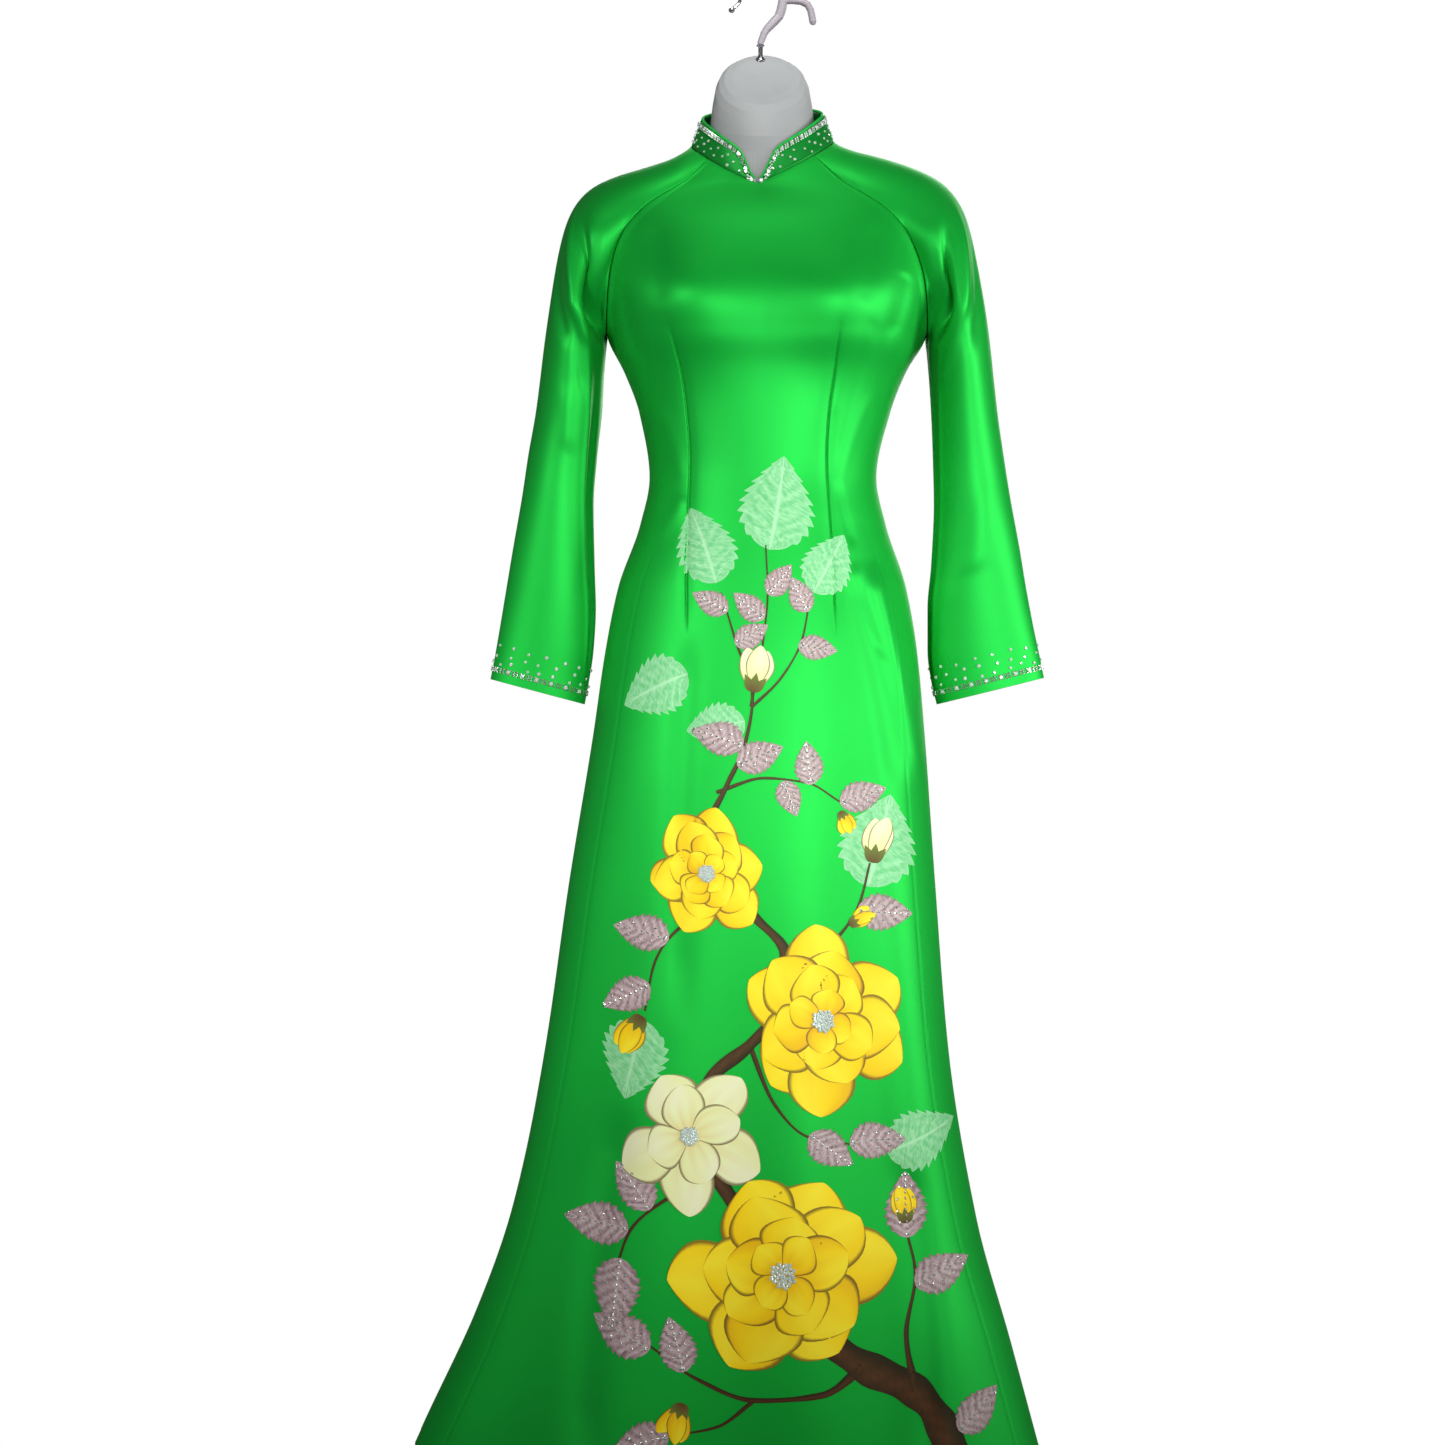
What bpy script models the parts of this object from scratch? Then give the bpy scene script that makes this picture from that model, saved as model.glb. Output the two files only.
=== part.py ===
"""An ao dai tunic of green satin on a hanging torso form.

Metres, +Z up. The garment's front faces -Y and the wearer's right arm is at -X.
The origin is the inside of the hook's crown, the point that a rail carries.
Heights on the garment are drops: the distance below the pit of the neck.
"""

import math

import bmesh
import bpy
import numpy as np

NECK_PIT_Z = -0.240
BODY_Y = -0.028
CLOTH = 0.0016
SEAM_GAP = 0.0003
FRONT, BACK = -1, 1
RIGHT, LEFT = -1, 1

# The neckline is a tilted oval: angle 0 is the pit of the neck and 180 the nape.
NECK_HALF_WIDTH = 0.078
NECK_HALF_DEPTH = 0.062
NAPE_RISE = 0.062
PIT_DIP = 0.010
PIT_SHIFT = -0.0062
NECK_TILT = 0.035
FRONT_SEAM_ANGLE = 48.0
BACK_SEAM_ANGLE = 140.0

COLLAR_HEIGHT = 0.0310
COLLAR_TOP_HALF_WIDTH = 0.066
COLLAR_TOP_HALF_DEPTH = 0.052
COLLAR_GAP_ANGLE = 1.8
COLLAR_CURVE_ANGLE = 9.2
PIPING_RADIUS = 0.0014
COLLAR_WALL = 0.0026

ARMPIT_DROP = 0.167
SLIT_DROP = 0.371
HEM_DROP = 1.390
HEM_DROP_RIGHT = 1.364
HEM_DROP_LEFT = 1.398

# Sections of the body and of the two panels below it. Above the armpit the widths are
# those of the chest oval that the yoke is cut from, and not of the cloth itself.
TORSO_COLUMNS = ("drop", "right", "left", "front", "back", "square", "edge")
TORSO = np.array([
    (-0.060, 0.190, 0.192, 0.044, 0.044, 2.2, 0.000),
    (-0.020, 0.192, 0.194, 0.054, 0.066, 2.2, 0.000),
    (0.000, 0.192, 0.195, 0.063, 0.079, 2.2, 0.000),
    (0.045, 0.189, 0.193, 0.0955, 0.097, 2.3, 0.000),
    (0.090, 0.182, 0.188, 0.1145, 0.105, 2.4, 0.000),
    (0.115, 0.178, 0.186, 0.1235, 0.106, 2.5, 0.000),
    (0.134, 0.174, 0.183, 0.1280, 0.106, 2.6, 0.000),
    (0.152, 0.1715, 0.1805, 0.1272, 0.104, 2.55, 0.000),
    (0.167, 0.169, 0.178, 0.125, 0.102, 2.5, 0.000),
    (0.206, 0.150, 0.156, 0.1145, 0.095, 2.4, 0.000),
    (0.250, 0.134, 0.139, 0.1085, 0.086, 2.3, 0.000),
    (0.320, 0.123, 0.124, 0.1060, 0.078, 2.2, 0.000),
    (0.371, 0.133, 0.134, 0.1085, 0.090, 2.2, 0.000),
    (0.440, 0.157, 0.156, 0.1135, 0.108, 2.2, 0.004),
    (0.510, 0.171, 0.168, 0.1180, 0.119, 2.2, 0.007),
    (0.600, 0.184, 0.176, 0.1212, 0.124, 2.2, 0.010),
    (0.760, 0.210, 0.187, 0.1240, 0.125, 2.1, 0.014),
    (0.940, 0.236, 0.201, 0.1265, 0.125, 2.1, 0.018),
    (1.120, 0.272, 0.231, 0.1290, 0.124, 2.0, 0.022),
    (1.250, 0.314, 0.268, 0.1305, 0.122, 2.0, 0.026),
    (1.400, 0.380, 0.309, 0.1320, 0.120, 2.0, 0.032),
])

# The bust stands proud of the chest oval on both sides of the front.
CUP_HEIGHT = 0.011
CUP_OUT = 0.084
CUP_DROP = 0.142
CUP_HALF_WIDTH = 0.042
CUP_HALF_HEIGHT = 0.046

# Stations down a sleeve: 0 is the neckline, 10 the armpit and 19 the cuff. The front and
# back columns follow the raglan seams and then the underarm seam. The ridge columns
# follow the top of the shoulder and then the sleeve's outer edge.
ARMPIT_STATION = 10
SLEEVE_COLUMNS = (
    "front_right", "front_left", "front_drop", "back_right", "back_left", "back_drop",
    "ridge_right", "ridge_left", "ridge_drop_right", "ridge_drop_left", "half_depth", "centre_drop",
)
SLEEVE = np.array([
    (0.058, 0.058, -0.019, 0.050, 0.050, -0.050, 0.0780, 0.0780, -0.037, -0.039, 0.0000, 0.000),
    (0.083, 0.084, 0.007, 0.070, 0.070, -0.030, 0.0990, 0.1050, -0.026, -0.033, 0.0200, 0.018),
    (0.104, 0.104, 0.020, 0.089, 0.090, -0.010, 0.1330, 0.1380, -0.0145, -0.0245, 0.0350, 0.036),
    (0.122, 0.123, 0.032, 0.106, 0.107, 0.010, 0.1630, 0.1680, -0.006, -0.015, 0.0500, 0.052),
    (0.136, 0.138, 0.045, 0.121, 0.122, 0.030, 0.1850, 0.1940, 0.003, -0.004, 0.0620, 0.066),
    (0.148, 0.151, 0.060, 0.134, 0.136, 0.050, 0.2020, 0.2120, 0.019, 0.015, 0.0735, 0.080),
    (0.156, 0.160, 0.076, 0.145, 0.148, 0.070, 0.2135, 0.2235, 0.041, 0.040, 0.0800, 0.094),
    (0.161, 0.167, 0.093, 0.153, 0.158, 0.090, 0.2210, 0.2305, 0.069, 0.069, 0.0815, 0.108),
    (0.1645, 0.172, 0.112, 0.159, 0.166, 0.112, 0.2275, 0.2365, 0.105, 0.105, 0.0815, 0.123),
    (0.167, 0.1755, 0.138, 0.165, 0.173, 0.138, 0.2325, 0.2435, 0.142, 0.142, 0.0785, 0.144),
    (0.169, 0.178, 0.167, 0.169, 0.178, 0.167, 0.2375, 0.2475, 0.172, 0.172, 0.0710, 0.167),
    (0.1725, 0.1815, 0.205, 0.1725, 0.1815, 0.205, 0.2410, 0.2510, 0.204, 0.204, 0.0630, 0.205),
    (0.1745, 0.184, 0.245, 0.1745, 0.184, 0.245, 0.2450, 0.2545, 0.240, 0.240, 0.0560, 0.245),
    (0.1805, 0.186, 0.300, 0.1805, 0.186, 0.300, 0.2545, 0.2620, 0.291, 0.291, 0.0480, 0.300),
    (0.184, 0.187, 0.350, 0.184, 0.187, 0.350, 0.2615, 0.2695, 0.338, 0.338, 0.0430, 0.350),
    (0.1828, 0.184, 0.415, 0.1828, 0.184, 0.415, 0.2720, 0.2805, 0.398, 0.398, 0.0370, 0.415),
    (0.1815, 0.180, 0.462, 0.1815, 0.180, 0.462, 0.2795, 0.2880, 0.443, 0.443, 0.0330, 0.462),
    (0.184, 0.180, 0.508, 0.184, 0.180, 0.508, 0.2865, 0.2960, 0.485, 0.485, 0.0290, 0.508),
    (0.189, 0.184, 0.542, 0.189, 0.184, 0.542, 0.2920, 0.3025, 0.5165, 0.5155, 0.0260, 0.545),
    (0.1936, 0.190, 0.567, 0.1936, 0.190, 0.567, 0.2965, 0.3070, 0.5395, 0.538, 0.0240, 0.571),
])
CUFF_STATION = len(SLEEVE) - 1

# Long soft folds of the hanging panels, each from a place at the hip to one at the hem.
# A positive height stands away from the body.
FOLD_COLUMNS = ("hip_x", "hem_x", "start_drop", "height", "half_width")
FRONT_FOLDS = np.array([
    (-0.070, -0.175, 0.48, 0.010, 0.042),
    (-0.120, -0.285, 0.60, -0.011, 0.034),
    (-0.025, -0.060, 0.62, -0.007, 0.050),
    (0.092, 0.135, 0.43, -0.011, 0.026),
    (0.122, 0.205, 0.45, 0.010, 0.030),
    (0.040, 0.055, 0.80, 0.006, 0.040),
])
BACK_FOLDS = np.array([
    (-0.085, -0.190, 0.50, 0.011, 0.040),
    (-0.030, -0.095, 0.55, -0.009, 0.040),
    (0.020, 0.010, 0.60, 0.009, 0.042),
    (0.075, 0.120, 0.50, -0.010, 0.034),
    (0.115, 0.215, 0.48, 0.009, 0.032),
    (-0.125, -0.290, 0.65, -0.009, 0.034),
])

# Rows of the panels below the armpit, and how many columns each piece has.
BODY_ROWS = (0.186, 0.206, 0.228, 0.250, 0.274, 0.298, 0.322, 0.346, 0.371)
PANEL_ROWS = (0.405, 0.440, 0.475, 0.510, 0.555, 0.610, 0.680, 0.760, 0.850, 0.940,
              1.030, 1.110, 1.180, 1.240, 1.290, 1.335, 1.365, 1.390)
FRONT_CELLS = 24
BACK_CELLS = 20
SLEEVE_CELLS = 18
COLLAR_FRONT_CELLS = 10
COLLAR_ROUND_CELLS = 40

# The torso form. Its shoulders follow the cloth's inner face and carry it.
FORM_EASE = 0.0004
FORM_EASE_STEP = 0.0008
FORM_COLLAR_EASE = 0.0050
FORM_BODY_EASE = 0.008
FORM_SHOULDER_STATIONS = 5
FORM_TUCK = 0.90
FORM_TUCK_DROP = 0.010
FORM_LEVEL_COLUMNS = ("drop", "right", "left")
FORM_LEVELS = np.array([
    (0.112, 0.152, 0.160),
    (0.140, 0.150, 0.158),
    (0.167, 0.149, 0.156),
    (0.206, 0.141, 0.147),
    (0.250, 0.127, 0.132),
    (0.320, 0.116, 0.117),
    (0.371, 0.126, 0.127),
    (0.440, 0.149, 0.148),
    (0.510, 0.163, 0.160),
    (0.594, 0.170, 0.165),
    (0.600, 0.164, 0.159),
])
FORM_NECK_COLUMNS = ("drop", "half_width", "half_depth", "tilt")
FORM_NECK = np.array([
    (-0.1155, 0.0120, 0.0090, 1.00),
    (-0.1155, 0.0330, 0.0270, 1.00),
    (-0.1140, 0.0415, 0.0345, 1.00),
    (-0.1090, 0.0475, 0.0400, 1.00),
    (-0.1010, 0.0512, 0.0430, 1.00),
    (-0.0840, 0.0545, 0.0455, 0.75),
    (-0.0630, 0.0570, 0.0475, 0.42),
    (-0.0460, 0.0590, 0.0490, 0.40),
])
FORM_CAP_RISE = 1.00

# The hook: white, with a bright ferrule in the neck and a bright ball tip.
HOOK_RADIUS = 0.0047
CROWN_RADIUS = 0.0245
CROWN_STEPS = 12
CROWN_CENTRE_Z = -(CROWN_RADIUS - HOOK_RADIUS)
FERRULE_X = -0.0015
BALL_Z = -0.0990
BALL_RADIUS = 0.0055
FERRULE_COLUMNS = ("radius", "z")
FERRULE = (
    (0.0, -0.0812), (0.0036, -0.0812), (0.0046, -0.0818), (0.0046, -0.0828), (0.0036, -0.0835),
    (0.0026, -0.0842), (0.0026, -0.0936), (0.0042, -0.0954), (0.0052, -0.0972), (0.0055, -0.0990),
    (0.0052, -0.1008), (0.0042, -0.1026), (0.0028, -0.1037), (0.0, -0.1045),
)
STEM_ROUTE = (
    (-0.0015, -0.0808, 0.72), (-0.0015, -0.0785, 0.76), (0.0003, -0.0740, 0.80), (0.0022, -0.0690, 0.85),
    (0.0050, -0.0645, 0.92), (0.0092, -0.0600, 1.0), (0.0140, -0.0550, 1.06), (0.0185, -0.0500, 1.10),
    (0.0208, -0.0440, 1.12), (0.0222, -0.0380, 1.10), (0.0230, -0.0319, 1.05), (0.0240, -0.0260, 1.0),
)
CROWN_END = (-0.0238, -0.0290)
PRONG_ROUTE = (
    (0.0225, -0.0330, 0.8), (0.0330, -0.0325, 0.85), (0.0430, -0.0335, 0.85), (0.0500, -0.0370, 0.85),
    (0.0535, -0.0430, 0.85), (0.0550, -0.0500, 0.85), (0.0560, -0.0560, 0.85), (0.0562, -0.0590, 0.55),
)
TIP_RADIUS = 0.0019
TIP_ROUTE = (
    (-0.0238, -0.0294, 1.0), (-0.0240, -0.0325, 1.0), (-0.0255, -0.0355, 1.0), (-0.0285, -0.0385, 1.0),
    (-0.0310, -0.0409, 1.0), (-0.0318, -0.0416, 1.5), (-0.0335, -0.0431, 1.75), (-0.0352, -0.0446, 1.4),
    (-0.0357, -0.0451, 0.6),
)

GREEN = (0.018, 0.36, 0.055, 1.0)
FORM_GREY = (0.62, 0.63, 0.62, 1.0)
HOOK_WHITE = (0.74, 0.72, 0.72, 1.0)
BRIGHT_METAL = (0.75, 0.75, 0.76, 1.0)


def along(xs, ys, at):
    """A smooth curve through the points of a table column, with no overshoot."""
    at = np.clip(at, xs[0], xs[-1])
    step = np.diff(xs)
    slope = np.diff(ys) / step
    product = slope[:-1] * slope[1:]
    inner = np.where(product > 0, 2 * product / (slope[:-1] + slope[1:] + 1e-12), 0.0)
    tangent = np.concatenate([slope[:1], inner, slope[-1:]])
    i = np.clip(np.searchsorted(xs, at, side="right") - 1, 0, len(xs) - 2)
    t = (at - xs[i]) / step[i]
    return (
        ys[i] * (1 + 2 * t) * (1 - t) ** 2
        + ys[i + 1] * t * t * (3 - 2 * t)
        + step[i] * (tangent[i] * t * (1 - t) ** 2 - tangent[i + 1] * t * t * (1 - t))
    )


def torso(name, drop):
    return along(TORSO[:, 0], TORSO[:, TORSO_COLUMNS.index(name)], drop)


def sleeve(name, station):
    return along(np.arange(len(SLEEVE)), SLEEVE[:, SLEEVE_COLUMNS.index(name)], station)


def smoothstep(t):
    t = np.clip(t, 0.0, 1.0)
    return t * t * (3 - 2 * t)


def place(x, y, drop):
    """Points in the part's frame from places on the garment."""
    x, y, drop = np.broadcast_arrays(x, y, drop)
    return np.stack([x, y + BODY_Y, NECK_PIT_Z - drop], axis=-1)


def torso_width(x, drop):
    return np.where(np.asarray(x) < 0, torso("right", drop), torso("left", drop))


def torso_depth(face, x, drop):
    """How far the front or back of the body stands from the side seams' plane."""
    depth = torso("front" if face == FRONT else "back", drop)
    square = torso("square", drop)
    edge = torso("edge", drop)
    share = np.clip(1 - np.abs(x / torso_width(x, drop)) ** square, 0.0, 1.0)
    out = edge + (depth - edge) * share ** (1 / square)
    if face == FRONT:
        across = (np.abs(x) - CUP_OUT) / CUP_HALF_WIDTH
        down = (drop - CUP_DROP) / CUP_HALF_HEIGHT
        out = out + CUP_HEIGHT * np.exp(-across**2 - down**2) * np.sqrt(share)
    return out


def fold_height(table, x, drop):
    total = np.zeros(np.broadcast(x, drop).shape)
    for hip_x, hem_x, start, height, half_width in table:
        t = np.clip((drop - start) / (HEM_DROP - start), 0.0, 1.0)
        middle = hip_x + (hem_x - hip_x) * t**1.3
        total = total + height * smoothstep(t * 1.6) * np.exp(-(((x - middle) / (half_width * (1 + t))) ** 2))
    return total


def neckline(angle):
    """A point of the neckline; the angle runs from the pit towards the wearer's left."""
    a = np.radians(angle)
    x = NECK_HALF_WIDTH * np.sin(a)
    front = np.clip(np.cos(a), 0, 1) ** 3
    drop = PIT_DIP * front - NAPE_RISE * np.abs(np.sin(a / 2)) - NECK_TILT * x
    return place(x + PIT_SHIFT * front, -NECK_HALF_DEPTH * np.cos(a), drop)


def yoke_row(face, station, u):
    """A row of the front or back above the armpit; u runs from -1 at the right to 1 at the left."""
    name = "front" if face == FRONT else "back"
    seam_x = np.where(u < 0, sleeve(name + "_right", station), sleeve(name + "_left", station))
    seam_drop = sleeve(name + "_drop", station)
    centre_drop = sleeve("centre_drop", station) - (NAPE_RISE * max(0.0, 1 - station / 4) ** 2 if face == BACK else 0)
    square = torso("square", seam_drop)
    share = np.clip(seam_x / torso_width(u, seam_drop), 0.0, 1.0) ** (square / 2)
    reach = np.arcsin(share)
    x = seam_x * np.sign(u) * (np.sin(np.abs(u) * reach) / share) ** (2 / square)
    drop = centre_drop + (seam_drop - centre_drop) * (x / seam_x) ** 2
    row = place(x, face * torso_depth(face, x, drop), drop)
    if station < 1:
        if face == FRONT:
            angle = u * FRONT_SEAM_ANGLE
        else:
            angle = 180 - u * (180 - BACK_SEAM_ANGLE)
        row = neckline(angle) * (1 - smoothstep(station)) + row * smoothstep(station)
    return row


def panel_row(face, drop, u):
    """A row of the front or back from the armpit to the hem."""
    square = torso("square", drop)
    width = torso_width(u, drop)
    x = width * np.sign(u) * np.abs(np.sin(u * math.pi / 2)) ** (2 / square)
    y = face * torso_depth(face, x, drop)
    folds = fold_height(FRONT_FOLDS if face == FRONT else BACK_FOLDS, x, drop)
    hem = np.where(u < 0, HEM_DROP_RIGHT, HEM_DROP_LEFT) - HEM_DROP
    lift = hem * u * u * smoothstep((drop - 1.0) / (HEM_DROP - 1.0))
    return place(x, y + face * folds, drop + lift)


def sleeve_row(side, station, t):
    """A row round a sleeve; t runs from the front seam over the top to the back seam."""
    hand = "right" if side == RIGHT else "left"
    ridge_x = sleeve("ridge_" + hand, station)
    ridge_drop = sleeve("ridge_drop_" + hand, station)
    least_depth = sleeve("half_depth", station)
    rows = []
    for face, name in ((FRONT, "front"), (BACK, "back")):
        seam_x = sleeve(f"{name}_{hand}", station)
        seam_drop = sleeve(name + "_drop", station)
        seam_y = 0.0
        if station < ARMPIT_STATION:
            seam_y = float(torso_depth(face, side * seam_x, seam_drop))
        half_depth = max(seam_y, float(least_depth))
        start = -math.acos(min(1.0, seam_y / half_depth))
        turn = start + (math.pi / 2 - start) * np.clip(t * 2 if face == FRONT else (1 - t) * 2, 0, 1)
        share = (np.sin(turn) - math.sin(start)) / (1 - math.sin(start))
        x = seam_x + (ridge_x - seam_x) * share
        drop = seam_drop + (ridge_drop - seam_drop) * share
        rows.append(place(side * x, face * half_depth * np.cos(turn), drop))
    row = np.where(t[:, None] <= 0.5, rows[0], rows[1])
    if station < 1:
        angle = side * (FRONT_SEAM_ANGLE + t * (BACK_SEAM_ANGLE - FRONT_SEAM_ANGLE))
        row = neckline(angle) * (1 - smoothstep(station)) + row * smoothstep(station)
    return row


def collar_height(angle):
    """The collar's height, which falls in a curve to the gap at the front."""
    from_front = np.minimum(angle, 360 - angle)
    share = np.maximum(from_front - COLLAR_GAP_ANGLE, 0.0) / COLLAR_CURVE_ANGLE
    return COLLAR_HEIGHT * (1 - 0.78 * np.exp(-(share**1.8)))


def collar_point(angle, height):
    """A point of the collar's outer face, this high above the neckline."""
    a = np.radians(angle)
    share = height / COLLAR_HEIGHT
    lean_x = (COLLAR_TOP_HALF_WIDTH - NECK_HALF_WIDTH) * np.sin(a)
    lean_y = -(COLLAR_TOP_HALF_DEPTH - NECK_HALF_DEPTH) * np.cos(a)
    return neckline(angle) + np.stack([lean_x * share, lean_y * share, height], axis=-1)


def grid_quads(rows, columns, side=1):
    """The quads of a grid of points, turned over when side is -1."""
    quads = []
    for i in range(rows - 1):
        for j in range(columns - 1):
            a = i * columns + j
            quad = (a, a + columns, a + columns + 1, a + 1)
            quads.append(quad if side > 0 else quad[::-1])
    return quads


def normals_of(points, quads):
    """Unit normals at the points, averaged over the quads round each."""
    q = np.array(quads)
    face = np.cross(points[q[:, 2]] - points[q[:, 0]], points[q[:, 3]] - points[q[:, 1]])
    total = np.zeros_like(points)
    for corner in range(4):
        np.add.at(total, q[:, corner], face)
    length = np.linalg.norm(total, axis=1, keepdims=True)
    return total / np.maximum(length, 1e-12)


def add_mesh(name, points, faces):
    mesh = bpy.data.meshes.new(name)
    mesh.from_pydata([tuple(p) for p in points], [], faces)
    obj = bpy.data.objects.new(name, mesh)
    bpy.data.collections["ao_dai"].objects.link(obj)
    mesh.shade_smooth()
    return obj


def wall(name, outer, normals, quads, thickness=CLOTH):
    """A closed wall of cloth: the outer faces, the inner ones and the rims between them."""
    count = len(outer)
    faces = list(quads)
    faces += [(count + a, count + d, count + c, count + b) for a, b, c, d in quads]
    edges = {edge for quad in quads for edge in zip(quad, quad[1:] + quad[:1])}
    for a, b in sorted(edges):
        if (b, a) not in edges:
            faces.append((b, a, count + a, count + b))
    used = sorted({i for face in faces for i in face})
    index = {old: new for new, old in enumerate(used)}
    points = np.concatenate([outer, outer - thickness * normals])[used]
    return add_mesh(name, points, [[index[i] for i in face] for face in faces])


def pull(grid, column, towards, rows):
    """Moves a seam column half a seam's gap along its own rows."""
    step = grid[rows, towards] - grid[rows, column]
    grid[rows, column] += step / np.linalg.norm(step, axis=1, keepdims=True) * SEAM_GAP / 2


def panel_grid(face, cells):
    u = np.linspace(-1, 1, cells + 1)
    rows = [yoke_row(face, station, u) for station in range(ARMPIT_STATION)]
    rows += [panel_row(face, drop, u) for drop in (ARMPIT_DROP,) + BODY_ROWS + PANEL_ROWS]
    return np.array(rows)


def sleeve_grid(side):
    t = np.linspace(0, 1, SLEEVE_CELLS + 1)
    return np.array([sleeve_row(side, station, t) for station in range(len(SLEEVE))])


def sleeve_quads(side):
    """A sleeve's quads, with its last column welded to its first from the armpit down."""
    columns = SLEEVE_CELLS + 1

    def welded(i):
        row, column = divmod(i, columns)
        return row * columns if column == SLEEVE_CELLS and row >= ARMPIT_STATION else i

    return [tuple(welded(i) for i in quad) for quad in grid_quads(len(SLEEVE), columns, side)]


def share_direction(normals, places):
    """Gives the pieces that meet at a seam the same wall direction there."""
    total = sum(normals[name][row, column] for name, row, column in places)
    total = total / np.linalg.norm(total)
    for name, row, column in places:
        normals[name][row, column] = total


def sew(grids, normals):
    """Leaves a seam's gap between the pieces."""
    sewn_rows = ARMPIT_STATION + 1 + len(BODY_ROWS)
    for sleeve_name, column in (("sleeve_right", 0), ("sleeve_left", -1)):
        for row in range(ARMPIT_STATION):
            share_direction(normals, (("front", row, column), (sleeve_name, row, 0)))
            share_direction(normals, (("back", row, column), (sleeve_name, row, SLEEVE_CELLS)))
        for row in range(ARMPIT_STATION, sewn_rows):
            share_direction(normals, (("front", row, column), ("back", row, column)))
    for name in ("front", "back"):
        last = grids[name].shape[1] - 1
        pull(grids[name], 0, 1, slice(0, sewn_rows))
        pull(grids[name], last, last - 1, slice(0, sewn_rows))
    for name, side in (("sleeve_right", RIGHT), ("sleeve_left", LEFT)):
        pull(grids[name], 0, 1, slice(0, ARMPIT_STATION))
        pull(grids[name], SLEEVE_CELLS, SLEEVE_CELLS - 1, slice(0, ARMPIT_STATION))
        grids[name][ARMPIT_STATION, 0, 0] += side * (SEAM_GAP + CLOTH)


def make_garment():
    """The front, back and sleeves, and the grids that the form is made from."""
    grids = {"front": panel_grid(FRONT, FRONT_CELLS), "back": panel_grid(BACK, BACK_CELLS)}
    grids["sleeve_right"] = sleeve_grid(RIGHT)
    grids["sleeve_left"] = sleeve_grid(LEFT)
    quads = {
        "front": grid_quads(*grids["front"].shape[:2], 1),
        "back": grid_quads(*grids["back"].shape[:2], -1),
        "sleeve_right": sleeve_quads(RIGHT),
        "sleeve_left": sleeve_quads(LEFT),
    }
    normals = {
        name: normals_of(grid.reshape(-1, 3), quads[name]).reshape(grid.shape)
        for name, grid in grids.items()
    }
    sew(grids, normals)
    for name, grid in grids.items():
        wall(name, grid.reshape(-1, 3), normals[name].reshape(-1, 3), quads[name])
    return grids, normals


def make_collar():
    """The stand collar, and the bound edge that stands on it."""
    near = COLLAR_GAP_ANGLE + 30 * np.linspace(0, 1, COLLAR_FRONT_CELLS + 1) ** 1.3
    angles = np.concatenate([near, np.linspace(38, 322, COLLAR_ROUND_CELLS + 1), 360 - near[::-1]])
    way = np.gradient(collar_point(angles, collar_height(angles)), axis=0)
    steepness = np.linalg.norm(way, axis=1) / np.hypot(way[:, 0], way[:, 1])
    steepness = np.maximum(steepness, (np.roll(steepness, 1) + np.roll(steepness, -1)) / 2)
    top = collar_height(angles) - (2 * PIPING_RADIUS + SEAM_GAP) * steepness - SEAM_GAP
    rows = [collar_point(angles, SEAM_GAP + (top - SEAM_GAP) * share) for share in (1.0, 0.5, 0.0)]
    grid = np.array(rows)
    quads = grid_quads(3, len(angles))
    normals = normals_of(grid.reshape(-1, 3), quads)
    normals[:, 2] = 0.0
    normals /= np.linalg.norm(normals, axis=1, keepdims=True)
    wall("collar", grid.reshape(-1, 3), normals, quads, COLLAR_WALL)
    edge = collar_point(angles, collar_height(angles) - PIPING_RADIUS * steepness)
    edge -= normals.reshape(grid.shape)[0] * COLLAR_WALL / 2
    rod("collar_piping", [(*point, 1.0) for point in edge], PIPING_RADIUS, 2)


def rod(name, route, radius, resolution=4):
    """A round rod along a route of places and radius scales, as a closed mesh."""
    curve = bpy.data.curves.new(name, "CURVE")
    curve.dimensions = "3D"
    curve.bevel_depth = radius
    curve.bevel_resolution = resolution
    curve.use_fill_caps = True
    spline = curve.splines.new("POLY")
    spline.points.add(len(route) - 1)
    for point, (x, y, z, scale) in zip(spline.points, route):
        point.co = (x, y, z, 1.0)
        point.radius = scale
    shape = bpy.data.objects.new(name + "_curve", curve)
    bpy.context.scene.collection.objects.link(shape)
    bpy.context.view_layer.update()
    mesh = bpy.data.meshes.new_from_object(shape.evaluated_get(bpy.context.evaluated_depsgraph_get()))
    bpy.data.objects.remove(shape)
    bm = bmesh.new()
    bm.from_mesh(mesh)
    bmesh.ops.remove_doubles(bm, verts=bm.verts, dist=1e-6)
    bmesh.ops.recalc_face_normals(bm, faces=bm.faces)
    bm.to_mesh(mesh)
    bm.free()
    mesh.name = name
    mesh.shade_smooth()
    obj = bpy.data.objects.new(name, mesh)
    bpy.data.collections["ao_dai"].objects.link(obj)
    return obj


def ellipse(half_width, half_depth, tilt, drop, turns):
    x = half_width * np.cos(turns)
    y = half_depth * np.sin(turns)
    return place(x, y, drop - FORM_CAP_RISE * tilt * y)


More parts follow.
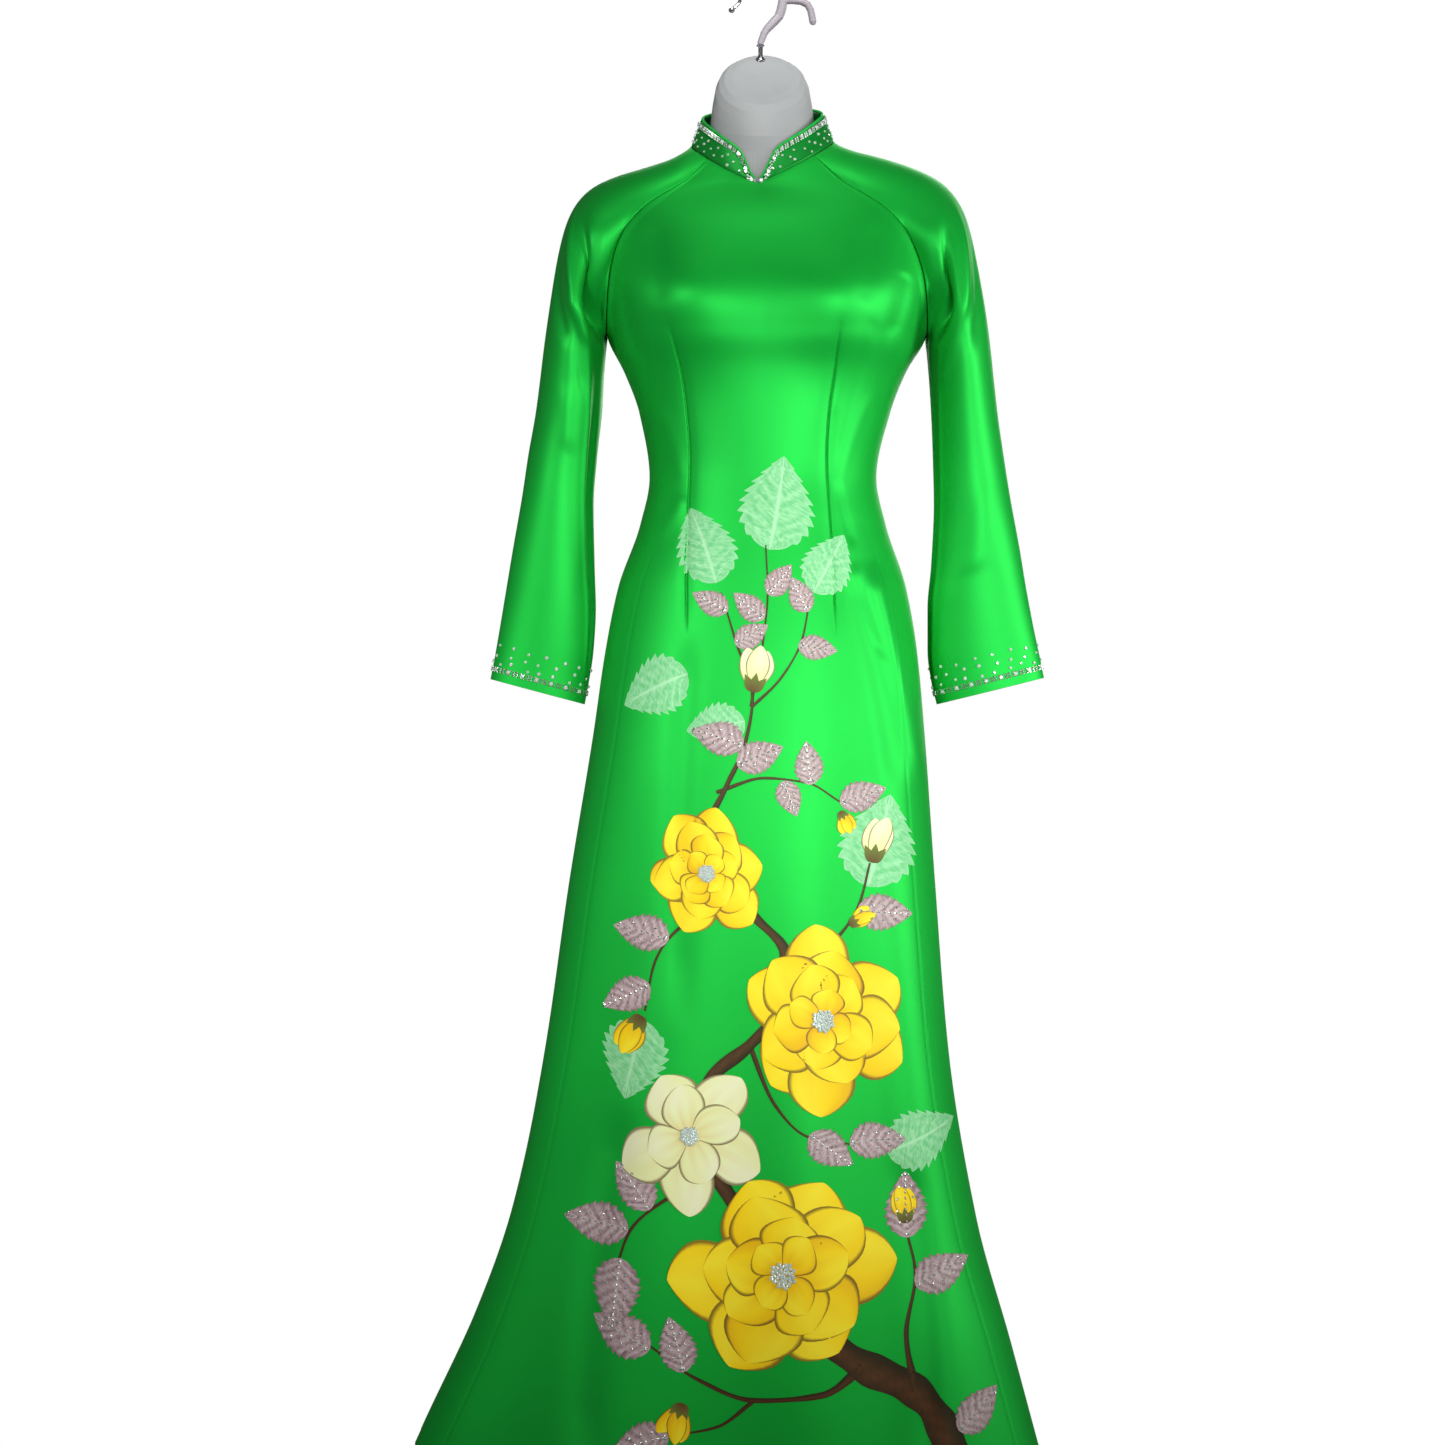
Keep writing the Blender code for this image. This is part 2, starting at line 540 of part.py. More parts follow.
def make_form(grids, normals):
    """The closed torso form: neck, shoulders under the cloth, and a body clear of it."""
    def ring(station, ease):
        parts = []
        for name, reverse in (("front", 0), ("sleeve_left", 0), ("back", 1), ("sleeve_right", 1)):
            row = grids[name][station] - ease * normals[name][station]
            parts.append((row[::-1] if reverse else row)[:-1])
        return np.concatenate(parts)

    collar_ring = ring(0, 0.0) - (0.0, BODY_Y, 0.0)
    collar_ring[:, :2] *= 1 - FORM_COLLAR_EASE / np.linalg.norm(collar_ring[:, :2], axis=1, keepdims=True)
    collar_ring += (0.0, BODY_Y, -FORM_COLLAR_EASE)
    shoulders = []
    for station in range(1, FORM_SHOULDER_STATIONS + 1):
        shoulders.append(ring(station, CLOTH + FORM_EASE + FORM_EASE_STEP * (station - 1)))
    last = shoulders[-1]
    neck_turns = np.arctan2(collar_ring[:, 1] - BODY_Y, collar_ring[:, 0] * 0.8)
    rings = [ellipse(w, d, tilt, drop, neck_turns) for drop, w, d, tilt in FORM_NECK]
    tucked = (last - (0.0, BODY_Y, 0.0)) * (FORM_TUCK, FORM_TUCK, 1.0) + (0.0, BODY_Y, -FORM_TUCK_DROP)
    rings += [collar_ring] + shoulders + [tucked]
    for drop, right, left in FORM_LEVELS:
        square = torso("square", drop)
        width = np.where(last[:, 0] < 0, right, left)
        reach = np.where(last[:, 0] < 0, abs(last[:, 0].min()), last[:, 0].max())
        turn = np.arctan2((last[:, 1] - BODY_Y) / 0.118, last[:, 0] / reach)
        c, s = np.cos(turn), np.sin(turn)
        size = (np.abs(c) ** square + np.abs(s) ** square) ** (-1 / square)
        x = width * size * c
        depth = np.where(s < 0, torso("front", drop), torso("back", drop)) - FORM_BODY_EASE
        y = depth * size * s
        across = (np.abs(x) - CUP_OUT) / CUP_HALF_WIDTH
        down = (drop - CUP_DROP) / CUP_HALF_HEIGHT
        cups = CUP_HEIGHT * np.exp(-across**2 - down**2) * np.sqrt(np.clip(-s * size, 0, 1))
        inset = 0.94 if drop == FORM_LEVELS[-1, 0] else 1.0
        rings.append(place(x, (y - cups) * inset, drop))
    grid = np.array(rings)
    count = grid.shape[1]
    faces = []
    for i in range(len(rings) - 1):
        for j in range(count):
            a, b = i * count + j, i * count + (j + 1) % count
            faces.append((a, a + count, b + count, b))
    points = np.concatenate([grid.reshape(-1, 3), grid[0].mean(axis=0)[None], grid[-1].mean(axis=0)[None]])
    top, bottom = len(points) - 2, len(points) - 1
    base = (len(rings) - 1) * count
    for j in range(count):
        faces.append((top, j, (j + 1) % count))
        faces.append((bottom, base + (j + 1) % count, base + j))
    form = add_mesh("torso_form", points, faces)
    bpy.ops.mesh.primitive_uv_sphere_add(
        segments=20, ring_count=12, radius=BALL_RADIUS + 0.0004, location=(FERRULE_X, 0, BALL_Z)
    )
    socket = bpy.context.object
    socket.name = "ferrule_socket"
    put_away(socket)
    cut = form.modifiers.new("socket", "BOOLEAN")
    cut.operation = "DIFFERENCE"
    cut.solver = "EXACT"
    cut.object = socket


def put_away(obj):
    """Moves a helper to the cutters' collection."""
    for collection in list(obj.users_collection):
        collection.objects.unlink(obj)
    bpy.data.collections["cutters"].objects.link(obj)
    obj.hide_render = True
    obj.display_type = "WIRE"


def make_hook():
    mesh = bpy.data.meshes.new("hook_ferrule")
    points = [(radius, 0.0, z) for radius, z in FERRULE]
    mesh.from_pydata(points, [(i, i + 1) for i in range(len(points) - 1)], [])
    ferrule = bpy.data.objects.new("hook_ferrule", mesh)
    ferrule.location = (FERRULE_X, 0, 0)
    bpy.data.collections["ao_dai"].objects.link(ferrule)
    turn = ferrule.modifiers.new("turn", "SCREW")
    turn.steps = turn.render_steps = 18
    turn.use_merge_vertices = True
    turn.merge_threshold = 0.0001
    turn.use_smooth_shade = True

    route = [(x, 0.0, z, scale) for x, z, scale in STEM_ROUTE]
    for step in range(CROWN_STEPS + 1):
        a = math.pi * step / CROWN_STEPS
        route.append((CROWN_RADIUS * math.cos(a), 0.0, CROWN_CENTRE_Z + CROWN_RADIUS * math.sin(a), 1.0))
    route.append((CROWN_END[0], 0.0, CROWN_END[1], 0.9))
    hook = rod("hook", route, HOOK_RADIUS)
    prong = rod("hook_prong", [(x, 0.0, z, scale) for x, z, scale in PRONG_ROUTE], HOOK_RADIUS)
    put_away(prong)
    join = hook.modifiers.new("prong", "BOOLEAN")
    join.operation = "UNION"
    join.solver = "EXACT"
    join.object = prong
    rod("hook_tip", [(x, 0.0, z, scale) for x, z, scale in TIP_ROUTE], TIP_RADIUS)


def give_materials():
    surfaces = {
        "front": ("green_satin", GREEN, 0.0, 0.35),
        "torso_form": ("form_plastic", FORM_GREY, 0.0, 0.45),
        "hook": ("hook_plastic", HOOK_WHITE, 0.0, 0.35),
        "hook_ferrule": ("bright_metal", BRIGHT_METAL, 1.0, 0.12),
    }
    same = {
        "back": "front", "sleeve_right": "front", "sleeve_left": "front",
        "collar": "front", "collar_piping": "front", "hook_tip": "hook_ferrule",
    }
    for obj in bpy.data.collections["ao_dai"].objects:
        name, colour, metallic, roughness = surfaces[same.get(obj.name, obj.name)]
        material = bpy.data.materials.new(f"{obj.name}_{name}")
        material.use_nodes = True
        shader = material.node_tree.nodes["Principled BSDF"]
        shader.inputs["Base Color"].default_value = colour
        shader.inputs["Metallic"].default_value = metallic
        shader.inputs["Roughness"].default_value = roughness
        obj.data.materials.append(material)


def main():
    for obj in list(bpy.data.objects):
        bpy.data.objects.remove(obj)
    for name in ("ao_dai", "cutters"):
        collection = bpy.data.collections.new(name)
        bpy.context.scene.collection.children.link(collection)
    bpy.data.collections["cutters"].hide_render = True
    grids, normals = make_garment()
    make_collar()
    make_form(grids, normals)
    make_hook()
    give_materials()


main()
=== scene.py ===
"""Renders the ao dai tunic on its torso form: satin, darts, folds, beads and a flower design."""

import math

import bmesh
import bpy
import mathutils
import numpy as np
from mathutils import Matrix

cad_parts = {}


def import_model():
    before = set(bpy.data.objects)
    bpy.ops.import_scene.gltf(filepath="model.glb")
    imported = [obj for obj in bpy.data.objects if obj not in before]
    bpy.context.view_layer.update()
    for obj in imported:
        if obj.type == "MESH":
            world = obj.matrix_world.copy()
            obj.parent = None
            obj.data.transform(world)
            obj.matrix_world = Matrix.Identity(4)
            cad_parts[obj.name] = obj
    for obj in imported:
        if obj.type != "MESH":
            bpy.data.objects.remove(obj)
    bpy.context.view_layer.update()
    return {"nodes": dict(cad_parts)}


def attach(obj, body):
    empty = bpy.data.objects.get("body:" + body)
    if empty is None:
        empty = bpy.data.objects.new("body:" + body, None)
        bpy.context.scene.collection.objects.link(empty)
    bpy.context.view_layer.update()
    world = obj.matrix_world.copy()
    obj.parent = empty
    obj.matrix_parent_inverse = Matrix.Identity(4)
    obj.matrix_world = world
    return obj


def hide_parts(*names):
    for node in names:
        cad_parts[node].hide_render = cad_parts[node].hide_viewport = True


NECK_PIT_Z = -0.240
BODY_Y = -0.028
CLOTH = 0.0016
SEAM_GAP = 0.0003
FRONT, BACK = -1, 1
RIGHT, LEFT = -1, 1

# The neckline is a tilted oval: angle 0 is the pit of the neck and 180 the nape.
NECK_HALF_WIDTH = 0.078
NECK_HALF_DEPTH = 0.062
NAPE_RISE = 0.062
PIT_DIP = 0.010
PIT_SHIFT = -0.0062
NECK_TILT = 0.035
FRONT_SEAM_ANGLE = 48.0
BACK_SEAM_ANGLE = 140.0

COLLAR_HEIGHT = 0.0310
COLLAR_TOP_HALF_WIDTH = 0.066
COLLAR_TOP_HALF_DEPTH = 0.052
COLLAR_GAP_ANGLE = 1.8
COLLAR_CURVE_ANGLE = 9.2
PIPING_RADIUS = 0.0014
COLLAR_WALL = 0.0026

ARMPIT_DROP = 0.167
SLIT_DROP = 0.371
HEM_DROP = 1.390
HEM_DROP_RIGHT = 1.364
HEM_DROP_LEFT = 1.398

# Sections of the body and of the two panels below it. Above the armpit the widths are
# those of the chest oval that the yoke is cut from, and not of the cloth itself.
TORSO_COLUMNS = ("drop", "right", "left", "front", "back", "square", "edge")
TORSO = np.array([
    (-0.06, 0.19, 0.192, 0.044, 0.044, 2.2, 0.0),
    (-0.02, 0.192, 0.194, 0.054, 0.066, 2.2, 0.0),
    (0.0, 0.192, 0.195, 0.063, 0.079, 2.2, 0.0),
    (0.045, 0.189, 0.193, 0.0955, 0.097, 2.3, 0.0),
    (0.09, 0.182, 0.188, 0.1145, 0.105, 2.4, 0.0),
    (0.115, 0.178, 0.186, 0.1235, 0.106, 2.5, 0.0),
    (0.134, 0.174, 0.183, 0.128, 0.106, 2.6, 0.0),
    (0.152, 0.1715, 0.1805, 0.1272, 0.104, 2.55, 0.0),
    (0.167, 0.169, 0.178, 0.125, 0.102, 2.5, 0.0),
    (0.206, 0.15, 0.156, 0.1145, 0.095, 2.4, 0.0),
    (0.25, 0.134, 0.139, 0.1085, 0.086, 2.3, 0.0),
    (0.32, 0.123, 0.124, 0.106, 0.078, 2.2, 0.0),
    (0.371, 0.133, 0.134, 0.1085, 0.09, 2.2, 0.0),
    (0.44, 0.157, 0.156, 0.1135, 0.108, 2.2, 0.004),
    (0.51, 0.171, 0.168, 0.118, 0.119, 2.2, 0.007),
    (0.6, 0.184, 0.176, 0.1212, 0.124, 2.2, 0.01),
    (0.76, 0.21, 0.187, 0.124, 0.125, 2.1, 0.014),
    (0.94, 0.236, 0.201, 0.1265, 0.125, 2.1, 0.018),
    (1.12, 0.272, 0.231, 0.129, 0.124, 2.0, 0.022),
    (1.25, 0.314, 0.268, 0.1305, 0.122, 2.0, 0.026),
    (1.4, 0.38, 0.309, 0.132, 0.12, 2.0, 0.032),
])

# The bust stands proud of the chest oval on both sides of the front.
CUP_HEIGHT = 0.011
CUP_OUT = 0.084
CUP_DROP = 0.142
CUP_HALF_WIDTH = 0.042
CUP_HALF_HEIGHT = 0.046

# Stations down a sleeve: 0 is the neckline, 10 the armpit and 19 the cuff. The front and
# back columns follow the raglan seams and then the underarm seam. The ridge columns
# follow the top of the shoulder and then the sleeve's outer edge.
ARMPIT_STATION = 10
SLEEVE_COLUMNS = (
    "front_right", "front_left", "front_drop", "back_right", "back_left", "back_drop",
    "ridge_right", "ridge_left", "ridge_drop_right", "ridge_drop_left", "half_depth", "centre_drop",
)
SLEEVE = np.array([
    (0.058, 0.058, -0.019, 0.05, 0.05, -0.05, 0.078, 0.078, -0.037, -0.039, 0.0, 0.0),
    (0.083, 0.084, 0.007, 0.07, 0.07, -0.03, 0.099, 0.105, -0.026, -0.033, 0.02, 0.018),
    (0.104, 0.104, 0.02, 0.089, 0.09, -0.01, 0.133, 0.138, -0.0145, -0.0245, 0.035, 0.036),
    (0.122, 0.123, 0.032, 0.106, 0.107, 0.01, 0.163, 0.168, -0.006, -0.015, 0.05, 0.052),
    (0.136, 0.138, 0.045, 0.121, 0.122, 0.03, 0.185, 0.194, 0.003, -0.004, 0.062, 0.066),
    (0.148, 0.151, 0.06, 0.134, 0.136, 0.05, 0.202, 0.212, 0.019, 0.015, 0.0735, 0.08),
    (0.156, 0.16, 0.076, 0.145, 0.148, 0.07, 0.2135, 0.2235, 0.041, 0.04, 0.08, 0.094),
    (0.161, 0.167, 0.093, 0.153, 0.158, 0.09, 0.221, 0.2305, 0.069, 0.069, 0.0815, 0.108),
    (0.1645, 0.172, 0.112, 0.159, 0.166, 0.112, 0.2275, 0.2365, 0.105, 0.105, 0.0815, 0.123),
    (0.167, 0.1755, 0.138, 0.165, 0.173, 0.138, 0.2325, 0.2435, 0.142, 0.142, 0.0785, 0.144),
    (0.169, 0.178, 0.167, 0.169, 0.178, 0.167, 0.2375, 0.2475, 0.172, 0.172, 0.071, 0.167),
    (0.1725, 0.1815, 0.205, 0.1725, 0.1815, 0.205, 0.241, 0.251, 0.204, 0.204, 0.063, 0.205),
    (0.1745, 0.184, 0.245, 0.1745, 0.184, 0.245, 0.245, 0.2545, 0.24, 0.24, 0.056, 0.245),
    (0.1805, 0.186, 0.3, 0.1805, 0.186, 0.3, 0.2545, 0.262, 0.291, 0.291, 0.048, 0.3),
    (0.184, 0.187, 0.35, 0.184, 0.187, 0.35, 0.2615, 0.2695, 0.338, 0.338, 0.043, 0.35),
    (0.1828, 0.184, 0.415, 0.1828, 0.184, 0.415, 0.272, 0.2805, 0.398, 0.398, 0.037, 0.415),
    (0.1815, 0.18, 0.462, 0.1815, 0.18, 0.462, 0.2795, 0.288, 0.443, 0.443, 0.033, 0.462),
    (0.184, 0.18, 0.508, 0.184, 0.18, 0.508, 0.2865, 0.296, 0.485, 0.485, 0.029, 0.508),
    (0.189, 0.184, 0.542, 0.189, 0.184, 0.542, 0.292, 0.3025, 0.5165, 0.5155, 0.026, 0.545),
    (0.1936, 0.19, 0.567, 0.1936, 0.19, 0.567, 0.2965, 0.307, 0.5395, 0.538, 0.024, 0.571),
])
CUFF_STATION = len(SLEEVE) - 1

# Long soft folds of the hanging panels, each from a place at the hip to one at the hem.
# A positive height stands away from the body.
# Columns: x at the hip, x at the hem, drop where it starts, height and half width.
FRONT_FOLDS = np.array([
    (-0.07, -0.175, 0.48, 0.01, 0.042),
    (-0.12, -0.285, 0.6, -0.011, 0.034),
    (-0.025, -0.06, 0.62, -0.007, 0.05),
    (0.092, 0.135, 0.43, -0.011, 0.026),
    (0.122, 0.205, 0.45, 0.01, 0.03),
    (0.04, 0.055, 0.8, 0.006, 0.04),
])
BACK_FOLDS = np.array([
    (-0.085, -0.19, 0.5, 0.011, 0.04),
    (-0.03, -0.095, 0.55, -0.009, 0.04),
    (0.02, 0.01, 0.6, 0.009, 0.042),
    (0.075, 0.12, 0.5, -0.01, 0.034),
    (0.115, 0.215, 0.48, 0.009, 0.032),
    (-0.125, -0.29, 0.65, -0.009, 0.034),
])

# Relief of the cloth: darts, seams and folds. Each row is a soft groove or ridge from one
# place to another on a panel, bowed sideways, with a height in metres and a half width.
# Columns: x and drop of the first end and of the other, bow, height and half width.
FRONT_RELIEF = np.array([
    (-0.126, 0.18, -0.124, 0.262, 0.0, -0.0008, 0.003),
    (0.113, 0.16, 0.124, 0.255, 0.004, -0.0007, 0.004),
    (0.146, 0.07, 0.126, 0.2, 0.004, -0.0006, 0.0048),
    (0.126, 0.165, 0.128, 0.272, 0.001, -0.0008, 0.0036),
    (0.074, 0.262, 0.102, 0.165, 0.002, 0.0007, 0.0042),
    (0.08, 0.31, 0.116, 0.175, 0.003, -0.0009, 0.0036),
    (0.078, 0.345, 0.116, 0.235, 0.003, 0.0008, 0.005),
    (-0.088, 0.33, -0.112, 0.25, -0.003, 0.0012, 0.008),
    (0.078, 0.33, 0.096, 0.4, -0.002, -0.0016, 0.004),
    (-0.086, 0.345, -0.118, 0.392, 0.003, 0.0016, 0.008),
    (0.096, 0.42, 0.128, 0.52, -0.004, 0.002, 0.006),
    (0.094, 0.43, 0.14, 0.66, 0.006, -0.003, 0.011),
    (0.116, 0.42, 0.172, 0.66, 0.004, 0.0085, 0.012),
    (-0.078, 0.5, -0.09, 0.9, -0.004, -0.0034, 0.014),
    (-0.118, 0.06, -0.112, 0.15, 0.004, -0.0014, 0.011),
    (0.12, 0.06, 0.108, 0.15, -0.004, -0.0014, 0.011),
    (-0.152, 0.118, -0.128, 0.205, -0.004, -0.003, 0.008),
    (0.152, 0.11, 0.136, 0.176, 0.003, -0.0022, 0.007),
    (-0.15, 1.0, -0.19, 1.37, -0.01, -0.005, 0.018),
    (0.15, 1.05, 0.17, 1.38, 0.01, -0.005, 0.016),
])
BACK_RELIEF = np.array([
    (-0.06, 0.32, -0.108, 0.285, -0.003, 0.0024, 0.0085),
    (0.06, 0.335, 0.11, 0.3, 0.003, 0.0024, 0.0085),
    (-0.07, 0.35, -0.11, 0.33, 0.003, -0.002, 0.008),
    (0.064, 0.362, 0.112, 0.338, -0.003, -0.002, 0.008),
    (-0.15, 0.11, -0.12, 0.185, -0.004, -0.003, 0.0075),
    (0.152, 0.11, 0.124, 0.185, 0.004, -0.003, 0.0075),
    (0.085, 0.44, 0.1, 0.8, 0.004, -0.0034, 0.014),
    (-0.09, 0.46, -0.12, 0.86, -0.006, -0.0034, 0.015),
    (0.15, 1.0, 0.18, 1.38, 0.01, -0.005, 0.017),
])

# Long darts from bust to hip: their places at each drop, with the depth and half width of
# the groove, and the drops where they start and end.
# Columns: drop, and x on the front's right and left and the back's right and left.
DARTS = np.array([
    (0.15, -0.1045, 0.0845, -0.088, 0.088),
    (0.186, -0.095, 0.0779, -0.085, 0.085),
    (0.22, -0.0863, 0.0742, -0.08, 0.08),
    (0.262, -0.081, 0.0688, -0.073, 0.074),
    (0.304, -0.0783, 0.0668, -0.07, 0.07),
    (0.353, -0.0794, 0.0692, -0.071, 0.071),
    (0.395, -0.0806, 0.072, -0.073, 0.073),
    (0.434, -0.0818, 0.0738, -0.075, 0.075),
    (0.503, -0.081, 0.076, -0.078, 0.078),
])
DART_START = 0.152
DART_END = 0.500
DART_DEPTH = 0.0025
DART_HALF_WIDTH = 0.0011
DART_FADE = 0.05
DART_SHARE = 0.56
DART_STEPS = (-0.02, -0.013, -0.0085, -0.0055, -0.003, 0.0, 0.003, 0.0055, 0.0085, 0.013, 0.02)
# The turned hems: how far in the side hems reach, how far up the hem is stitched, and the
# depth of their lines. HEM_SHARE is the column that follows the side hem's line.
SIDE_HEM = 0.027
HEM_STITCHES = 0.010
HEM_GROOVE = 0.0005
HEM_SHARE = 0.92
HEM_STEPS = (-0.006, -0.003, 0.0, 0.003, 0.006)
STITCH_STEPS = (-0.0022, -0.0011, 0.0, 0.0011, 0.0022)
SIDE_GROOVE_HALF_WIDTH = 0.0012
HEM_GROOVE_HALF_WIDTH = 0.0010
HEM_LIFT_START = 1.0
EDGE_SHARES = (0.992, 0.996, 0.9985)
NECK_TUCK = 0.0007
NECK_TUCK_HALF_WIDTH = 0.0025
SEAM_GROOVE = 0.0009
SEAM_HALF_WIDTH = 0.0013
# How far, in rows, the panels are softened, the drop where that ends and how fast it fades.
PANEL_SOFTENING = ((3.5, 0.34, 0.06), (10.0, 0.21, 0.05))
SLEEVE_SOFTENING = 9.0
SLEEVE_SEAM_SHARES = (0.003, 0.007, 0.012, 0.988, 0.993, 0.997)
SLEEVE_GIRTH = 0.34
# Fineness: columns, rows above the armpit and rows below it; a sleeve's rows and columns.
FRONT_FINENESS = (160, 120, 300)
BACK_FINENESS = (140, 100, 250)
SLEEVE_FINENESS = (230, 130)
# The last of a sleeve's wide rows, the first of its close rows at the cuff, and their number.
SLEEVE_ROW_ENDS = (18.55, 18.6)
CUFF_ROWS = 26
# Softening starts this many rows below the neckline and this share of a half width inside the seams.
NECK_ROWS = 12
SIDE_SHARE = 0.10
# Relief fades out over this share of a half width at the seams.
RELIEF_SHARE = 0.05
# The cloth from its middle to its side, as a share of its whole width, and round a sleeve in metres.
HALF_ARC = 0.55
SEAM_GIRTH = 0.30
# Stations between which a sleeve is softened, and the share of its girth kept at the seam.
SOFT_STATIONS = (1.5, 14)
SLEEVE_SEAM_SHARE = 0.035
# A sleeve's folds grow to their full depth from one station to the other.
FOLDS_START = 5.0
FOLDS_LENGTH = 4.4
GIRTH_LOSS = 0.006

# Folds of a sleeve, by station and turn (0 at the front seam, 0.5 at the outer edge).
# Side is -1 for the right sleeve, 1 for the left and 0 for both.
# Columns: side, station and turn of the first end and of the other, bow, height and half width.
SLEEVE_RELIEF = np.array([
    (-1, 9.8, 0.16, 18.4, 0.06, 0.0, 0.002, 0.0045),
    (-1, 9.9, 0.105, 18.4, 0.03, 0.0, -0.0044, 0.0085),
    (1, 9.8, 0.115, 18.4, 0.045, 0.0, 0.0018, 0.0045),
    (1, 9.9, 0.07, 18.4, 0.02, 0.0, -0.004, 0.008),
    (-1, 4.0, 0.33, 10.1, 0.05, 0.01, -0.021, 0.014),
    (-1, 5.2, 0.35, 10.0, 0.16, 0.01, 0.0045, 0.011),
    (-1, 6.4, 0.43, 10.4, 0.26, 0.01, -0.0036, 0.012),
    (-1, 4.0, 0.2, 10.2, 0.04, 0.0, -0.013, 0.026),
    (1, 4.0, 0.16, 10.2, 0.05, 0.0, -0.013, 0.024),
    (-1, 9.0, 0.2, 11.8, 0.17, 0.02, -0.0024, 0.01),
    (-1, 8.4, 0.26, 10.4, 0.15, 0.01, 0.0026, 0.009),
    (1, 4.0, 0.25, 10.1, 0.085, 0.01, -0.02, 0.013),
    (1, 5.2, 0.33, 10.0, 0.2, 0.01, 0.0042, 0.01),
    (1, 5.4, 0.43, 10.6, 0.3, 0.01, -0.0044, 0.013),
    (1, 9.4, 0.2, 11.6, 0.12, 0.02, 0.0018, 0.01),
    (-1, 11.4, 0.26, 13.0, 0.21, 0.01, 0.0014, 0.013),
    (1, 13.6, 0.3, 15.4, 0.22, 0.01, 0.0014, 0.015),
    (0, 5.4, 0.68, 9.8, 0.9, -0.02, -0.004, 0.015),
    (0, 6.0, 0.6, 9.9, 0.8, -0.02, 0.0028, 0.014),
    (0, 9.0, 0.8, 11.8, 0.86, -0.01, -0.0022, 0.012),
    (0, 9.8, 0.88, 18.4, 0.94, 0.0, 0.0018, 0.005),
])

SATIN_GREEN = (0.006, 0.46, 0.042)
EDGE_GREEN = (0.010, 0.42, 0.050)
# The collar's green is the tunic satin's green at about half its brightness: painted shade for the collar
# band, which faces upwards.
SHADED_COLLAR_GREEN = (0.003, 0.22, 0.022)
SATIN_METALLIC = 0.42
SATIN_ROUGHNESS = 0.48
WORLD_LIGHT = 0.10
CAMERA_DISTANCE = 3.2
PICTURE_WIDTH = 1.5895
SENSOR_WIDTH = 36.0
CAMERA_X = -0.0435
CAMERA_Z = -0.8267


def along(xs, ys, at):
    """A smooth curve through the points of a table column, with no overshoot."""
    at = np.clip(at, xs[0], xs[-1])
    step = np.diff(xs)
    slope = np.diff(ys) / step
    product = slope[:-1] * slope[1:]
    inner = np.where(product > 0, 2 * product / (slope[:-1] + slope[1:] + 1e-12), 0.0)
    tangent = np.concatenate([slope[:1], inner, slope[-1:]])
    i = np.clip(np.searchsorted(xs, at, side="right") - 1, 0, len(xs) - 2)
    t = (at - xs[i]) / step[i]
    return (
        ys[i] * (1 + 2 * t) * (1 - t) ** 2
        + ys[i + 1] * t * t * (3 - 2 * t)
        + step[i] * (tangent[i] * t * (1 - t) ** 2 - tangent[i + 1] * t * t * (1 - t))
    )


def torso(name, drop):
    return along(TORSO[:, 0], TORSO[:, TORSO_COLUMNS.index(name)], drop)


def sleeve(name, station):
    return along(np.arange(len(SLEEVE)), SLEEVE[:, SLEEVE_COLUMNS.index(name)], station)


def smoothstep(t):
    t = np.clip(t, 0.0, 1.0)
    return t * t * (3 - 2 * t)


def bell(distance, half_width):
    """A soft bump, 1 in its middle and next to nothing two half widths away."""
    return np.exp(-((distance / half_width) ** 2))


def unit(vectors):
    return vectors / np.linalg.norm(vectors, axis=-1, keepdims=True)


def place(x, y, drop):
    """Points in the part's frame from places on the garment."""
    x, y, drop = np.broadcast_arrays(x, y, drop)
    return np.stack([x, y + BODY_Y, NECK_PIT_Z - drop], axis=-1)


def torso_width(x, drop):
    return np.where(np.asarray(x) < 0, torso("right", drop), torso("left", drop))


def torso_depth(face, x, drop):
    """How far the front or back of the body stands from the side seams' plane."""
    depth = torso("front" if face == FRONT else "back", drop)
    square = torso("square", drop)
    edge = torso("edge", drop)
    share = np.clip(1 - np.abs(x / torso_width(x, drop)) ** square, 0.0, 1.0)
    out = edge + (depth - edge) * share ** (1 / square)
    if face == FRONT:
        across = (np.abs(x) - CUP_OUT) / CUP_HALF_WIDTH
        down = (drop - CUP_DROP) / CUP_HALF_HEIGHT
        out = out + CUP_HEIGHT * np.exp(-across**2 - down**2) * np.sqrt(share)
    return out


def fold_height(table, x, drop):
    total = np.zeros(np.broadcast(x, drop).shape)
    for hip_x, hem_x, start, height, half_width in table:
        t = np.clip((drop - start) / (HEM_DROP - start), 0.0, 1.0)
        middle = hip_x + (hem_x - hip_x) * t**1.3
        total = total + height * smoothstep(t * 1.6) * bell(x - middle, half_width * (1 + t))
    return total


def neckline(angle):
    """A point of the neckline; the angle runs from the pit towards the wearer's left."""
    a = np.radians(angle)
    x = NECK_HALF_WIDTH * np.sin(a)
    front = np.clip(np.cos(a), 0, 1) ** 3
    drop = PIT_DIP * front - NAPE_RISE * np.abs(np.sin(a / 2)) - NECK_TILT * x
    return place(x + PIT_SHIFT * front, -NECK_HALF_DEPTH * np.cos(a), drop)


def drawn_in(row, station, angle):
    """A row of the yoke or a sleeve; the first station's rows are drawn in to the neckline."""
    share = smoothstep(station)
    return neckline(angle) * (1 - share) + row * share if station < 1 else row


